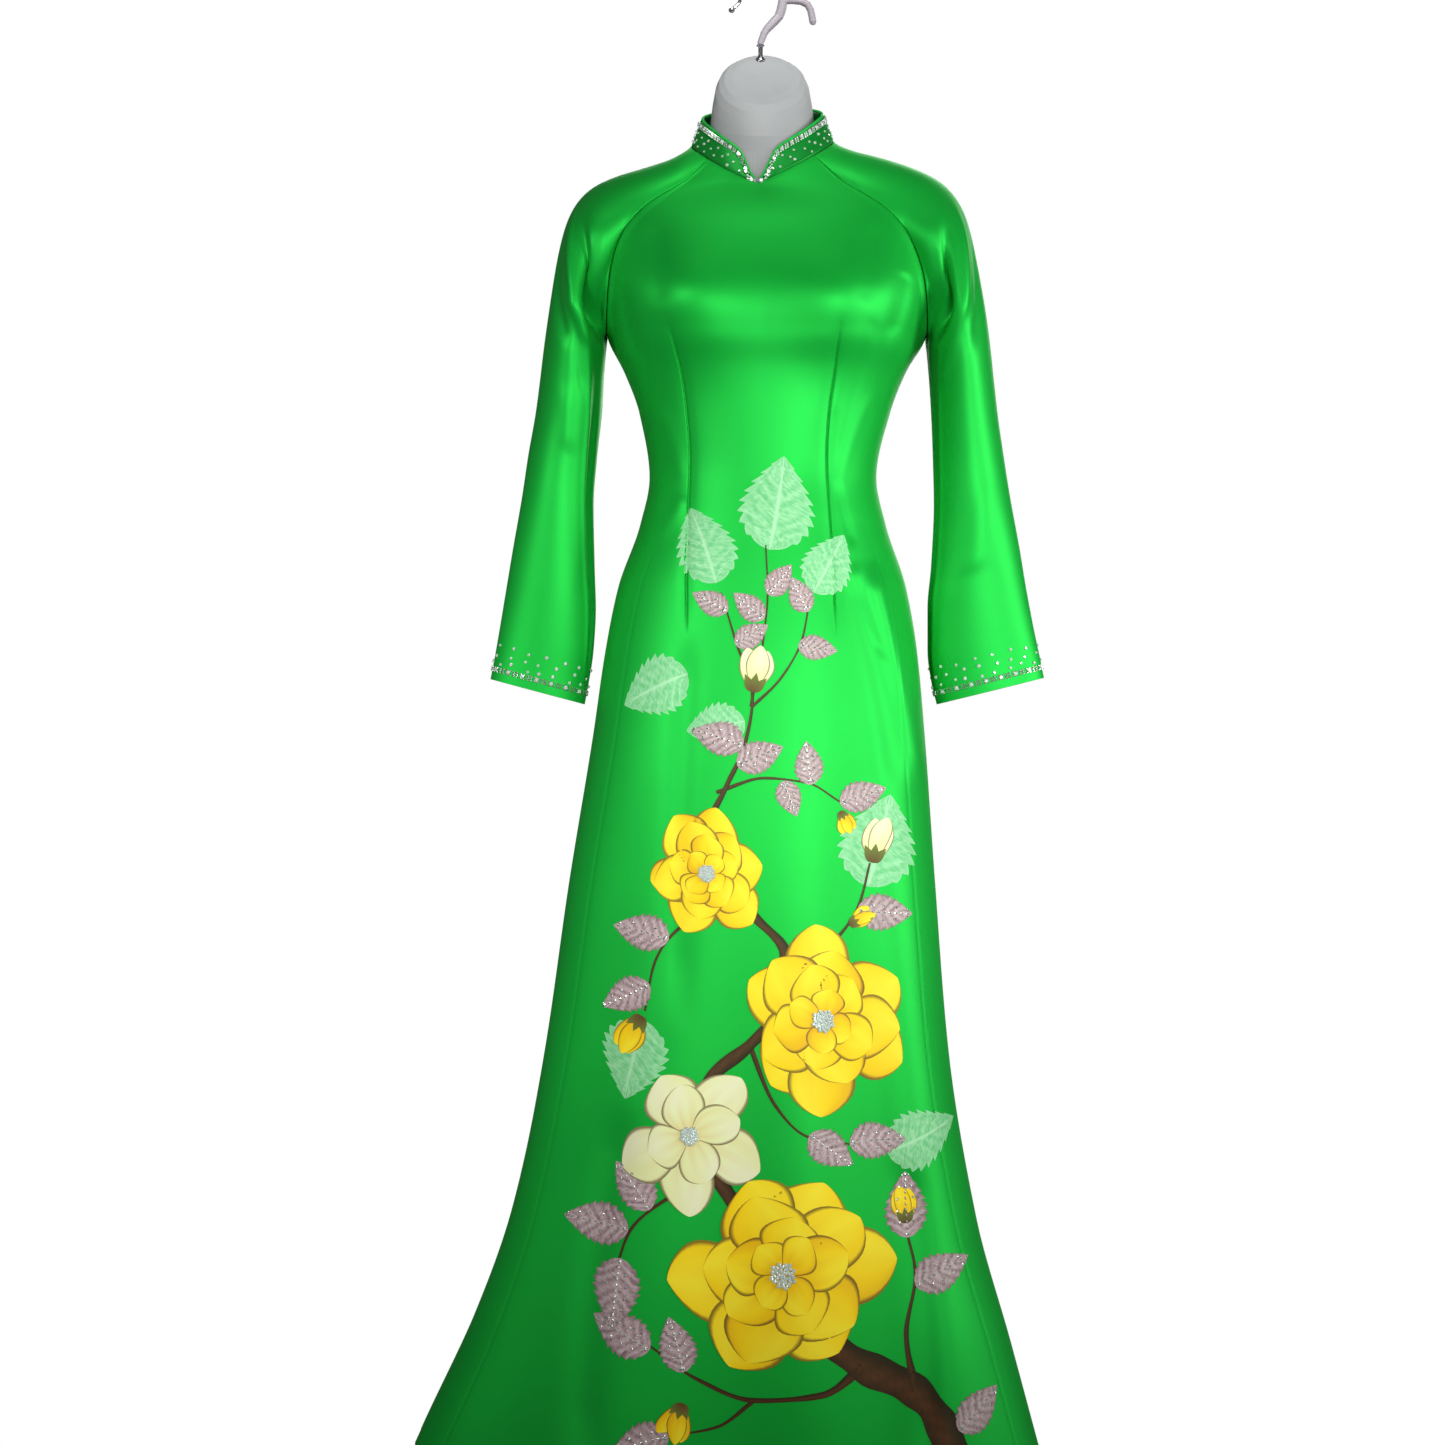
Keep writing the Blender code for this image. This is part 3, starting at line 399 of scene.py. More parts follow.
def yoke_row(face, station, u):
    """A row of the front or back above the armpit; u runs from -1 at the right to 1 at the left."""
    name = "front" if face == FRONT else "back"
    seam_x = np.where(u < 0, sleeve(name + "_right", station), sleeve(name + "_left", station))
    seam_drop = sleeve(name + "_drop", station)
    centre_drop = sleeve("centre_drop", station)
    if face == BACK:
        centre_drop = centre_drop - NAPE_RISE * max(0.0, 1 - station / 4) ** 2
    square = torso("square", seam_drop)
    share = np.clip(seam_x / torso_width(u, seam_drop), 0.0, 1.0) ** (square / 2)
    reach = np.arcsin(share)
    x = seam_x * np.sign(u) * (np.sin(np.abs(u) * reach) / share) ** (2 / square)
    drop = centre_drop + (seam_drop - centre_drop) * (x / seam_x) ** 2
    angle = u * FRONT_SEAM_ANGLE if face == FRONT else 180 - u * (180 - BACK_SEAM_ANGLE)
    return drawn_in(place(x, face * torso_depth(face, x, drop), drop), station, angle)


def hem_lift(side, u, drop):
    """How far below its middle the hem lies, where u is -1 or 1 at the side seams."""
    ends = np.where(side < 0, HEM_DROP_RIGHT, HEM_DROP_LEFT) - HEM_DROP
    return ends * u * u * smoothstep((drop - HEM_LIFT_START) / (HEM_DROP - HEM_LIFT_START))


def panel_row(face, drop, u):
    """A row of the front or back from the armpit to the hem."""
    square = torso("square", drop)
    width = torso_width(u, drop)
    x = width * np.sign(u) * np.abs(np.sin(u * math.pi / 2)) ** (2 / square)
    y = face * torso_depth(face, x, drop)
    folds = fold_height(FRONT_FOLDS if face == FRONT else BACK_FOLDS, x, drop)
    return place(x, y + face * folds, drop + hem_lift(u, u, drop))


def sleeve_row(side, station, t):
    """A row round a sleeve; t runs from the front seam over the top to the back seam."""
    hand = "right" if side == RIGHT else "left"
    ridge_x = sleeve("ridge_" + hand, station)
    ridge_drop = sleeve("ridge_drop_" + hand, station)
    least_depth = sleeve("half_depth", station)
    rows = []
    for face, name in ((FRONT, "front"), (BACK, "back")):
        seam_x = sleeve(f"{name}_{hand}", station)
        seam_drop = sleeve(name + "_drop", station)
        seam_y = 0.0
        if station < ARMPIT_STATION:
            seam_y = float(torso_depth(face, side * seam_x, seam_drop))
        half_depth = max(seam_y, float(least_depth))
        start = -math.acos(min(1.0, seam_y / half_depth))
        turn = start + (math.pi / 2 - start) * np.clip(t * 2 if face == FRONT else (1 - t) * 2, 0, 1)
        share = (np.sin(turn) - math.sin(start)) / (1 - math.sin(start))
        x = seam_x + (ridge_x - seam_x) * share
        drop = seam_drop + (ridge_drop - seam_drop) * share
        rows.append(place(side * x, face * half_depth * np.cos(turn), drop))
    angle = side * (FRONT_SEAM_ANGLE + t * (BACK_SEAM_ANGLE - FRONT_SEAM_ANGLE))
    return drawn_in(np.where(t[:, None] <= 0.5, rows[0], rows[1]), station, angle)


def collar_height(angle):
    """The collar's height, which falls in a curve to the gap at the front."""
    from_front = np.minimum(angle, 360 - angle)
    share = np.maximum(from_front - COLLAR_GAP_ANGLE, 0.0) / COLLAR_CURVE_ANGLE
    return COLLAR_HEIGHT * (1 - 0.78 * np.exp(-(share**1.8)))


def collar_point(angle, height):
    """A point of the collar's outer face, this high above the neckline."""
    a = np.radians(angle)
    share = height / COLLAR_HEIGHT
    lean_x = (COLLAR_TOP_HALF_WIDTH - NECK_HALF_WIDTH) * np.sin(a)
    lean_y = -(COLLAR_TOP_HALF_DEPTH - NECK_HALF_DEPTH) * np.cos(a)
    return neckline(angle) + np.stack([lean_x * share, lean_y * share, height], axis=-1)


def relief(table, x, drop):
    """The height of the darts and folds of a table at these places."""
    total = np.zeros(np.broadcast(x, drop).shape)
    for x0, d0, x1, d1, bow, height, half_width in table:
        length = math.hypot(x1 - x0, d1 - d0)
        ux, ud = (x1 - x0) / length, (d1 - d0) / length
        s = ((x - x0) * ux + (drop - d0) * ud) / length
        side = (x - x0) * ud - (drop - d0) * ux - bow * 4 * np.clip(s, 0, 1) * (1 - np.clip(s, 0, 1))
        ends = smoothstep((s + 0.04) / 0.16) * smoothstep((1.04 - s) / 0.22)
        total = total + height * ends * bell(side, half_width)
    return total


def dart_place(face, hand, drop):
    column = 1 + (face == BACK) * 2 + (hand == LEFT)
    return along(DARTS[:, 0], DARTS[:, column], drop)


def dart_grooves(face, x, drop):
    """The grooves of the long darts, one on each hand."""
    ends = smoothstep((drop - DART_START) / DART_FADE) * smoothstep((DART_END - drop) / DART_FADE)
    total = np.zeros(np.broadcast(x, drop).shape)
    for hand in (RIGHT, LEFT):
        away = x - dart_place(face, hand, drop)
        total = total - DART_DEPTH * bell(away, DART_HALF_WIDTH)
        total = total - 0.5 * DART_DEPTH * bell(away, 6 * DART_HALF_WIDTH)
    return total * ends


def sleeve_relief(side, station, t):
    total = np.zeros(np.broadcast(station, t).shape)
    girth = SLEEVE_GIRTH - GIRTH_LOSS * np.clip(station - ARMPIT_STATION, 0, CUFF_STATION - ARMPIT_STATION)
    for only, s0, t0, s1, t1, bow, height, half_width in SLEEVE_RELIEF:
        if only not in (0, side):
            continue
        s = (station - s0) / (s1 - s0)
        middle = t0 + (t1 - t0) * s + bow * 4 * np.clip(s, 0, 1) * (1 - np.clip(s, 0, 1))
        ends = smoothstep((s + 0.05) / 0.45) * smoothstep((1.05 - s) / 0.25)
        total = total + height * ends * bell((t - middle) * girth, half_width)
    return total


class Grid:
    """A grid of points with its quads and normals; from row welded_from on, it closes to a tube."""

    def __init__(self, points, side, welded_from=None):
        self.points = points
        self.welded_from = welded_from
        rows, columns = points.shape[:2]
        self.quads = grid_quads(rows, columns, side)
        if welded_from is not None:
            row, column = np.divmod(self.quads, columns)
            closed = (column == columns - 1) & (row >= welded_from)
            self.quads = np.where(closed, row * columns, self.quads)
        self.normals = normals_of(points.reshape(-1, 3), self.quads).reshape(points.shape)
        if welded_from is not None:
            self.normals[welded_from:, -1] = self.normals[welded_from:, 0]


def grid_quads(rows, columns, side=1):
    """The quads of a grid of points, turned over when side is -1."""
    i = np.arange(rows - 1)[:, None] * columns + np.arange(columns - 1)[None, :]
    i = i.ravel()
    quads = np.stack([i, i + columns, i + columns + 1, i + 1], axis=1)
    return quads if side > 0 else quads[:, ::-1]


def normals_of(points, quads):
    """Unit normals at the points, averaged over the quads round each."""
    a, b, c, d = quads.T
    face = np.cross(points[c] - points[a], points[d] - points[b])
    total = np.zeros_like(points)
    for corner in (a, b, c, d):
        np.add.at(total, corner, face)
    length = np.linalg.norm(total, axis=1, keepdims=True)
    return total / np.maximum(length, 1e-12)


# The corners of a quad in the order that turns it over.
TURNED_OVER = [0, 3, 2, 1]


def rim_faces(quads, count):
    """Joins each open edge of the quads to the same edge of a second layer, count points later."""
    edges = {edge: None for quad in quads for edge in zip(quad, quad[1:] + quad[:1]) if edge[0] != edge[1]}
    return [(b, a, count + a, count + b) for a, b in edges if (b, a) not in edges]


def make_mesh(name, points, faces, material, paint=None, smooth=True):
    """An object from points and faces; paint holds a colour for each point."""
    mesh = bpy.data.meshes.new(name)
    mesh.from_pydata(np.asarray(points).tolist(), [], [list(map(int, face)) for face in faces])
    if paint is not None:
        layer = mesh.attributes.new("paint", "FLOAT_COLOR", "POINT")
        layer.data.foreach_set("color", np.column_stack([paint, np.ones(len(paint))]).ravel())
    mesh.update()
    if smooth:
        mesh.shade_smooth()
    obj = bpy.data.objects.new(name, mesh)
    bpy.context.scene.collection.objects.link(obj)
    mesh.materials.append(material)
    return obj


def follow_lines(face, drop, u):
    """Moves the columns of a row so that the close ones lie on the darts and the turned side hems."""
    sewn_drop = min(drop, DARTS[-1, 0])
    x = panel_row(face, sewn_drop, u)[:, 0]
    darts = [float(np.interp(dart_place(face, hand, sewn_drop), x, u)) for hand in (RIGHT, LEFT)]
    x = panel_row(face, drop, u)[:, 0]
    share = float(smoothstep(np.array((drop - SLIT_DROP) / 0.04)))
    turned = np.interp([x[0] + SIDE_HEM, x[-1] - SIDE_HEM], x, u)
    turned = HEM_SHARE * np.array([-1.0, 1.0]) * (1 - share) + turned * share
    return np.interp(u, [-1.0, -HEM_SHARE, -DART_SHARE, 0.0, DART_SHARE, HEM_SHARE, 1.0],
                     [-1.0, turned[0], darts[0], 0.0, darts[1], turned[1], 1.0])


def panel_columns(count):
    """Shares from -1 at the right edge to 1 at the left, close beside darts, side hems and edges."""
    close = [DART_SHARE + step for step in DART_STEPS]
    close += [HEM_SHARE + step for step in HEM_STEPS]
    close += EDGE_SHARES
    return np.unique(np.round(np.concatenate([np.linspace(-1, 1, count + 1), close, np.negative(close)]), 6))


def drops_of(points):
    return NECK_PIT_Z - points[..., 2]


def softened(points, rows):
    """The points averaged down their columns, over about this many rows."""
    most = int(rows * 2.6)
    reach = np.arange(-most, most + 1)
    kernel = np.exp(-0.5 * (reach / rows) ** 2)
    kernel /= kernel.sum()
    padded = np.pad(points, ((most, most), (0, 0), (0, 0)), mode="edge")
    return sum(k * padded[i:i + len(points)] for i, k in enumerate(kernel))


def fine_panel(face, columns, yoke_rows, body_rows):
    """The front or back at render fineness, with its darts, folds, seams and hems."""
    u = panel_columns(columns)
    first = follow_lines(face, ARMPIT_DROP, u)
    stations = np.linspace(0, ARMPIT_STATION, yoke_rows + 1)[:-1]
    stitches = HEM_DROP - HEM_STITCHES + np.array(STITCH_STEPS)
    drops = np.unique(np.concatenate([np.linspace(ARMPIT_DROP, HEM_DROP, body_rows + 1), stitches]))
    rows = [yoke_row(face, station, first) for station in stations]
    rows += [panel_row(face, drop, follow_lines(face, drop, u)) for drop in drops]
    points = np.array(rows)

    from_side = (1 - np.abs(u))[None, :]
    share = smoothstep(np.arange(len(rows)) / NECK_ROWS)[:, None] * smoothstep(from_side / SIDE_SHARE)
    for reach, lowest, fade in PANEL_SOFTENING:
        share = share * smoothstep((lowest - drops_of(points)) / fade)
        points += (softened(points, reach) - points) * share[..., None]

    x = points[..., 0]
    drop = drops_of(points)
    out = relief(FRONT_RELIEF if face == FRONT else BACK_RELIEF, x, drop) + dart_grooves(face, x, drop)
    points[..., 1] += face * out * smoothstep(from_side / RELIEF_SHARE)
    sewn = drop[:, :1] < SLIT_DROP
    width = np.abs(x[:, -1:] - x[:, :1])
    points[..., 1] -= face * SEAM_GROOVE * bell(from_side * width * HALF_ARC, SEAM_HALF_WIDTH) * sewn

    sides = sum(bell(np.abs(x - edge) - SIDE_HEM, SIDE_GROOVE_HALF_WIDTH) for edge in (x[:, :1], x[:, -1:]))
    steps = np.linalg.norm(np.diff(points, axis=0), axis=2)
    from_hem = np.concatenate([steps[::-1].cumsum(axis=0)[::-1], np.zeros((1, len(u)))])
    hem = bell(from_hem - HEM_STITCHES, HEM_GROOVE_HALF_WIDTH)
    points[..., 1] -= face * HEM_GROOVE * (sides * (1 - sewn) + hem)
    from_neck = np.linalg.norm(np.diff(points, axis=0, prepend=points[:1]), axis=2).cumsum(axis=0)
    points[..., 1] -= face * NECK_TUCK * bell(from_neck, NECK_TUCK_HALF_WIDTH)
    return Grid(points, -face)


def fine_sleeve(side, rows, columns):
    """A sleeve at render fineness, with close rows at the cuff and close columns at the seam."""
    last, first = SLEEVE_ROW_ENDS
    station = np.concatenate([np.linspace(0, last, rows), np.linspace(first, CUFF_STATION, CUFF_ROWS)])
    t = np.unique(np.concatenate([np.linspace(0, 1, columns + 1), SLEEVE_SEAM_SHARES]))
    points = np.array([sleeve_row(side, s, t) for s in station])
    from_seam = np.minimum(t, 1 - t)[None, :]
    share = smoothstep((station - SOFT_STATIONS[0]) / 2) * smoothstep((SOFT_STATIONS[1] - station) / 3)
    share = share[:, None] * smoothstep(from_seam / SLEEVE_SEAM_SHARE)
    points = points + (softened(points, SLEEVE_SOFTENING) - points) * share[..., None]
    weld = int(np.searchsorted(station, ARMPIT_STATION))
    grid = Grid(points, side, weld)
    down, turn = np.meshgrid(station, t, indexing="ij")
    out = sleeve_relief(side, down, turn)
    free = smoothstep((down - FOLDS_START) / FOLDS_LENGTH)
    out = np.where(out < 0, out * free, out)
    out = out * np.where(down < ARMPIT_STATION, smoothstep(from_seam / 0.012), 1.0)
    out = out - SEAM_GROOVE * bell(from_seam * SEAM_GIRTH, SEAM_HALF_WIDTH) * np.clip(free, 0.3, 1)
    points = points + grid.normals * out[..., None]
    points[weld:, -1] = points[weld:, 0]
    return Grid(points, side, weld)


def shell_object(name, grid, material, hem_rows, side_columns=0):
    """The cloth's outer face, with its neck, hem and side edges turned in so that rims show."""
    rows, columns = grid.points.shape[:2]
    count = rows * columns
    points = np.concatenate([grid.points, grid.points - grid.normals * CLOTH]).reshape(-1, 3)
    turned_in = np.zeros((rows - 1, columns - 1), dtype=bool)
    turned_in[-hem_rows:] = True
    turned_in[:3] = True
    if side_columns:
        turned_in[:, :side_columns] = True
        turned_in[:, -side_columns:] = True
    back = grid.quads[turned_in.ravel()][:, TURNED_OVER] + count
    quads = grid.quads.tolist()
    faces = []
    for face in quads + back.tolist() + rim_faces(quads, count):
        kept = [v for i, v in enumerate(face) if v != face[i - 1]]
        if len(kept) > 2:
            faces.append(kept)
    used = np.unique(np.concatenate(faces))
    index = np.full(2 * count, -1)
    index[used] = np.arange(len(used))
    return make_mesh(name, points[used], [index[face] for face in faces], material)


# Materials.
def set_values(node, values):
    for key, value in values.items():
        node.inputs[key].default_value = value


def add_node(tree, kind, values, **settings):
    node = tree.nodes.new("ShaderNode" + kind)
    for key, value in settings.items():
        setattr(node, key, value)
    set_values(node, values)
    return node


def node_material(name, values):
    """A material with these values on its shader; returns it, its node tree and that shader."""
    material = bpy.data.materials.new(name)
    material.use_nodes = True
    tree = material.node_tree
    shader = tree.nodes["Principled BSDF"]
    set_values(shader, values)
    return material, tree, shader


def add_noise(tree, scale, detail=2.0, where=None):
    """The value of a noise texture at these places."""
    noise = add_node(tree, "TexNoise", {"Scale": scale, "Detail": detail})
    if where is not None:
        tree.links.new(where, noise.inputs["Vector"])
    return noise.outputs["Fac"]


def object_places(tree):
    return add_node(tree, "TexCoord", {}).outputs["Object"]


def mix_colours(tree, shader, share, first, second):
    """Colours a shader with a blend of two colours."""
    mix = add_node(tree, "Mix", {"A": (*first, 1.0), "B": (*second, 1.0)}, data_type="RGBA")
    tree.links.new(share, mix.inputs["Factor"])
    tree.links.new(mix.outputs["Result"], shader.inputs["Base Color"])


def add_bump(tree, shader, height, strength, distance):
    bump = add_node(tree, "Bump", {"Strength": strength, "Distance": distance})
    tree.links.new(height, bump.inputs["Height"])
    tree.links.new(bump.outputs["Normal"], shader.inputs["Normal"])


def satin_material(name, colour, metallic=SATIN_METALLIC):
    """Satin with soft highlights and a fine uneven weave; with no colour, its mesh is painted."""
    material, tree, shader = node_material(name, {
        "Metallic": metallic, "Roughness": SATIN_ROUGHNESS, "Anisotropic": 0.4,
        "Specular IOR Level": 0.35, "Specular Tint": (0.45, 1.0, 0.55, 1.0),
        "Sheen Weight": 0.05, "Sheen Roughness": 0.5, "Sheen Tint": (0.3, 1.0, 0.4, 1.0),
    })
    where = object_places(tree)
    if colour:
        darker = tuple(c * 0.86 for c in colour)
        mix_colours(tree, shader, add_noise(tree, 9.0, 3.0, where), darker, colour)
    else:
        paint = add_node(tree, "Attribute", {}, attribute_name="paint")
        tree.links.new(paint.outputs["Color"], shader.inputs["Base Color"])
    stretch = add_node(tree, "Mapping", {"Scale": (1.0, 1.0, 0.16)})
    tree.links.new(where, stretch.inputs["Vector"])
    add_bump(tree, shader, add_noise(tree, 1500.0, 2.0, stretch.outputs["Vector"]), 0.10, 0.0004)
    return material


def plastic_material(name, colour, roughness, speckle):
    material, tree, shader = node_material(name, {"Roughness": roughness})
    noise = add_noise(tree, 60.0, 4.0, object_places(tree))
    mix_colours(tree, shader, noise, tuple(c * (1 - speckle) for c in colour), colour)
    add_bump(tree, shader, noise, 0.12, 0.0005)
    return material


def metal_material(name, colour, roughness):
    material, tree, shader = node_material(name, {"Base Color": (*colour, 1.0), "Metallic": 1.0})
    worn = add_node(tree, "MapRange", {"To Min": roughness * 0.7, "To Max": roughness * 1.4})
    tree.links.new(add_noise(tree, 220.0), worn.inputs["Value"])
    tree.links.new(worn.outputs["Result"], shader.inputs["Roughness"])
    return material


def crystal_material(name):
    material, tree, shader = node_material(name, {"Metallic": 0.35, "Roughness": 0.16, "Coat Weight": 0.6})
    noise = add_noise(tree, 400.0, where=object_places(tree))
    mix_colours(tree, shader, noise, (0.46, 0.62, 0.50), (0.88, 0.93, 0.90))
    return material


# Beads and crystals, each set joined into one mesh.
def round_bead():
    ball = bmesh.new()
    bmesh.ops.create_icosphere(ball, subdivisions=1, radius=0.5)
    points = np.array([v.co[:] for v in ball.verts])
    faces = np.array([[v.index for v in f.verts] for f in ball.faces])
    ball.free()
    return points, faces


def faceted_stone():
    """A cut crystal: a flat table, eight slanted facets and a short girdle."""
    turns = np.arange(8) * math.pi / 4
    ring = np.stack([np.cos(turns), np.sin(turns)], axis=1)
    table = np.column_stack([ring * 0.27, np.full(8, 0.30)])
    girdle = np.column_stack([ring * 0.5, np.full(8, 0.08)])
    base = np.column_stack([ring * 0.48, np.full(8, -0.12)])
    points = np.concatenate([table, girdle, base])
    faces = [list(range(8)), list(range(23, 15, -1))]
    for i in range(8):
        j = (i + 1) % 8
        faces += [[i, 8 + i, 8 + j, j], [8 + i, 16 + i, 16 + j, 8 + j]]
    return points, faces


def scatter(name, places, material, shape):
    """One mesh of many copies: places holds (point, normal, direction, size) rows."""
    base, faces = shape
    points, copied = [], []
    for n, (centre, normal, way, size) in enumerate(places):
        normal = unit(normal)
        side = unit(np.cross(normal, way))
        points.append(centre + base * size @ np.array([np.cross(side, normal), side, normal]))
        copied += [[int(v) + n * len(base) for v in face] for face in faces]
    return make_mesh(name, np.concatenate(points), copied, material, smooth=False)


# The flower design, drawn as thin flat shapes that follow the front.
YELLOW = (1.0, 0.70, 0.002)
PALE_YELLOW = (1.0, 0.84, 0.03)
CREAM = (0.80, 0.84, 0.42)
PALE_CREAM = (0.86, 0.88, 0.60)
AMBER = (0.66, 0.22, 0.004)
DARK_LINE = (0.10, 0.035, 0.010)
BARK = (0.022, 0.006, 0.003)
BARK_LIGHT = (0.115, 0.030, 0.012)
MAUVE = (0.70, 0.54, 0.57)
MAUVE_DARK = (0.20, 0.105, 0.12)
MAUVE_VEIN = (0.62, 0.50, 0.46)
PALE_LEAF = (0.13, 0.52, 0.19)
PALE_LEAF_LIGHT = (0.32, 0.70, 0.36)
PALE_VEIN = (0.46, 0.80, 0.48)
SEPAL = (0.16, 0.20, 0.03)

# Open flowers: x, drop, radius, turn in degrees and kind.
FLOWERS = (
    (-0.06, 0.745, 0.062, 10.0, "yellow"),
    (0.062, 0.9, 0.088, 35.0, "yellow"),
    (-0.078, 1.02, 0.07, -20.0, "cream"),
    (0.02, 1.165, 0.105, 5.0, "yellow"),
)
# The main branch and its twigs: points (x, drop, width).
BRANCHES = (
    ((0.205, 1.385, 0.04), (0.19, 1.33, 0.036), (0.16, 1.29, 0.034), (0.105, 1.262, 0.032),
     (0.06, 1.225, 0.026), (0.03, 1.17, 0.02), (-0.01, 1.12, 0.017), (-0.05, 1.06, 0.016),
     (-0.07, 1.01, 0.014), (-0.055, 0.96, 0.014), (-0.015, 0.925, 0.013), (0.02, 0.88, 0.013),
     (0.022, 0.83, 0.011), (-0.01, 0.79, 0.01), (-0.045, 0.75, 0.009), (-0.058, 0.7, 0.007),
     (-0.04, 0.655, 0.005), (-0.02, 0.61, 0.004), (-0.012, 0.56, 0.003), (-0.03, 0.5, 0.0024),
     (-0.045, 0.45, 0.0018)),
    ((-0.014, 0.57, 0.0026), (-0.002, 0.51, 0.0022), (0.004, 0.45, 0.0018), (0.002, 0.4, 0.0012)),
    ((-0.015, 0.925, 0.005), (0.01, 0.985, 0.0035), (0.045, 1.02, 0.0025), (0.09, 1.03, 0.0018)),
    ((-0.012, 0.57, 0.003), (0.018, 0.54, 0.0024), (0.04, 0.5, 0.002), (0.048, 0.46, 0.0014)),
    ((0.105, 1.262, 0.01), (0.06, 1.29, 0.007), (-0.01, 1.296, 0.005), (-0.07, 1.275, 0.0035),
     (-0.12, 1.24, 0.0022)),
    ((-0.01, 1.296, 0.004), (-0.05, 1.325, 0.003), (-0.1, 1.335, 0.002)),
    ((-0.045, 1.06, 0.006), (-0.1, 1.085, 0.004), (-0.14, 1.12, 0.003), (-0.155, 1.16, 0.002)),
    ((0.022, 0.85, 0.006), (0.07, 0.82, 0.004), (0.1, 0.78, 0.003), (0.112, 0.735, 0.002)),
    ((-0.03, 0.78, 0.005), (-0.085, 0.8, 0.0035), (-0.115, 0.84, 0.0025), (-0.125, 0.89, 0.0018)),
    ((0.16, 1.29, 0.008), (0.15, 1.23, 0.005), (0.16, 1.17, 0.0035), (0.15, 1.12, 0.002)),
    ((-0.05, 0.66, 0.004), (0.0, 0.645, 0.003), (0.045, 0.65, 0.0022), (0.08, 0.67, 0.0016)),
)
# Leaves: x and drop of the stalk's end, length, half width and turn in degrees.
PALE_LEAVES = np.array([
    (0.006, 0.405, 0.1, 0.038, 78.0),
    (-0.08, 0.535, 0.075, 0.03, 200.0),
    (-0.05, 0.44, 0.085, 0.03, 105.0),
    (0.052, 0.45, 0.07, 0.026, 60.0),
    (-0.02, 0.585, 0.062, 0.024, 195.0),
    (0.11, 0.76, 0.1, 0.04, 75.0),
    (-0.125, 0.9, 0.085, 0.034, 250.0),
    (0.13, 1.04, 0.08, 0.03, 20.0),
])
MAUVE_LEAVES = np.array([
    (0.004, 0.452, 0.04, 0.013, 48.0),
    (0.0, 0.478, 0.042, 0.013, 140.0),
    (-0.022, 0.612, 0.056, 0.018, 155.0),
    (-0.028, 0.632, 0.052, 0.017, 25.0),
    (0.048, 1.018, 0.056, 0.018, -40.0),
    (0.09, 1.03, 0.06, 0.019, 10.0),
    (-0.038, 0.47, 0.042, 0.013, 150.0),
    (-0.03, 0.505, 0.04, 0.013, 30.0),
    (0.047, 0.47, 0.04, 0.013, 120.0),
    (0.036, 0.505, 0.042, 0.013, -10.0),
    (0.08, 0.672, 0.052, 0.016, 20.0),
    (0.05, 0.652, 0.046, 0.015, 100.0),
    (0.02, 0.648, 0.04, 0.013, -70.0),
    (-0.1, 0.815, 0.06, 0.019, 160.0),
    (-0.12, 0.862, 0.056, 0.018, 210.0),
    (0.098, 0.785, 0.06, 0.019, -5.0),
    (-0.15, 1.15, 0.075, 0.024, 260.0),
    (-0.142, 1.12, 0.07, 0.022, 170.0),
    (-0.12, 1.098, 0.06, 0.019, 120.0),
    (-0.12, 1.245, 0.068, 0.022, 150.0),
    (-0.085, 1.268, 0.06, 0.019, 100.0),
    (-0.1, 1.335, 0.062, 0.02, 190.0),
    (0.16, 1.18, 0.064, 0.02, 30.0),
    (0.152, 1.13, 0.07, 0.022, 95.0),
    (0.205, 1.33, 0.06, 0.019, 40.0),
])
# Buds: x, drop, length, turn in degrees and kind.
BUDS = (
    (-0.012, 0.555, 0.05, 78.0, "cream"),
    (-0.128, 0.895, 0.046, 240.0, "yellow"),
    (0.115, 0.735, 0.05, 80.0, "cream"),
    (-0.085, 1.3, 0.044, 250.0, "yellow"),
    (0.15, 1.115, 0.04, 95.0, "yellow"),
    (-0.065, 1.345, 0.04, 260.0, "cream"),
    (0.08, 0.68, 0.026, -60.0, "yellow"),
    (0.09, 0.8, 0.03, 30.0, "yellow"),
)
PRINT_LIFT = 0.00035
PRINT_LAYER = 0.00002
# The lowest layer of each group, and how many layers it shares out among its shapes.
BRANCH_LAYERS = (2, 4)
MAUVE_LAYERS = (6, 3)
BUD_LAYER = 9
FLOWER_LAYER = 15
# Rings of petals from outside in: count, reach and half width in radii, and turn.
YELLOW_RINGS = ((6, 1.05, 0.42, 0.0), (5, 0.86, 0.38, 30.0), (5, 0.62, 0.30, 8.0), (4, 0.40, 0.20, 40.0))
CREAM_RINGS = ((5, 1.10, 0.42, 0.0), (4, 0.74, 0.34, 40.0))
HEART_STONES = 34
HEART_RADIUS = 0.13
GOLDEN_TURN = 137.5
LEAF_TEETH = 9
LEAF_BEAD_STEP = 0.0062
HEART_STONE_SIZE = 0.0046
LEAF_BEAD_SIZE = 0.0020
LEAF_BEAD_LENGTH = 2.3
SUNK_SHARE = 0.16
# A bud's petals, each with its turn and length, and the turns of its sepals.
BUD_PETALS = ((-14, 0.92), (14, 0.94), (0, 1.0))
SEPAL_TURNS = (-34, 34, 0)


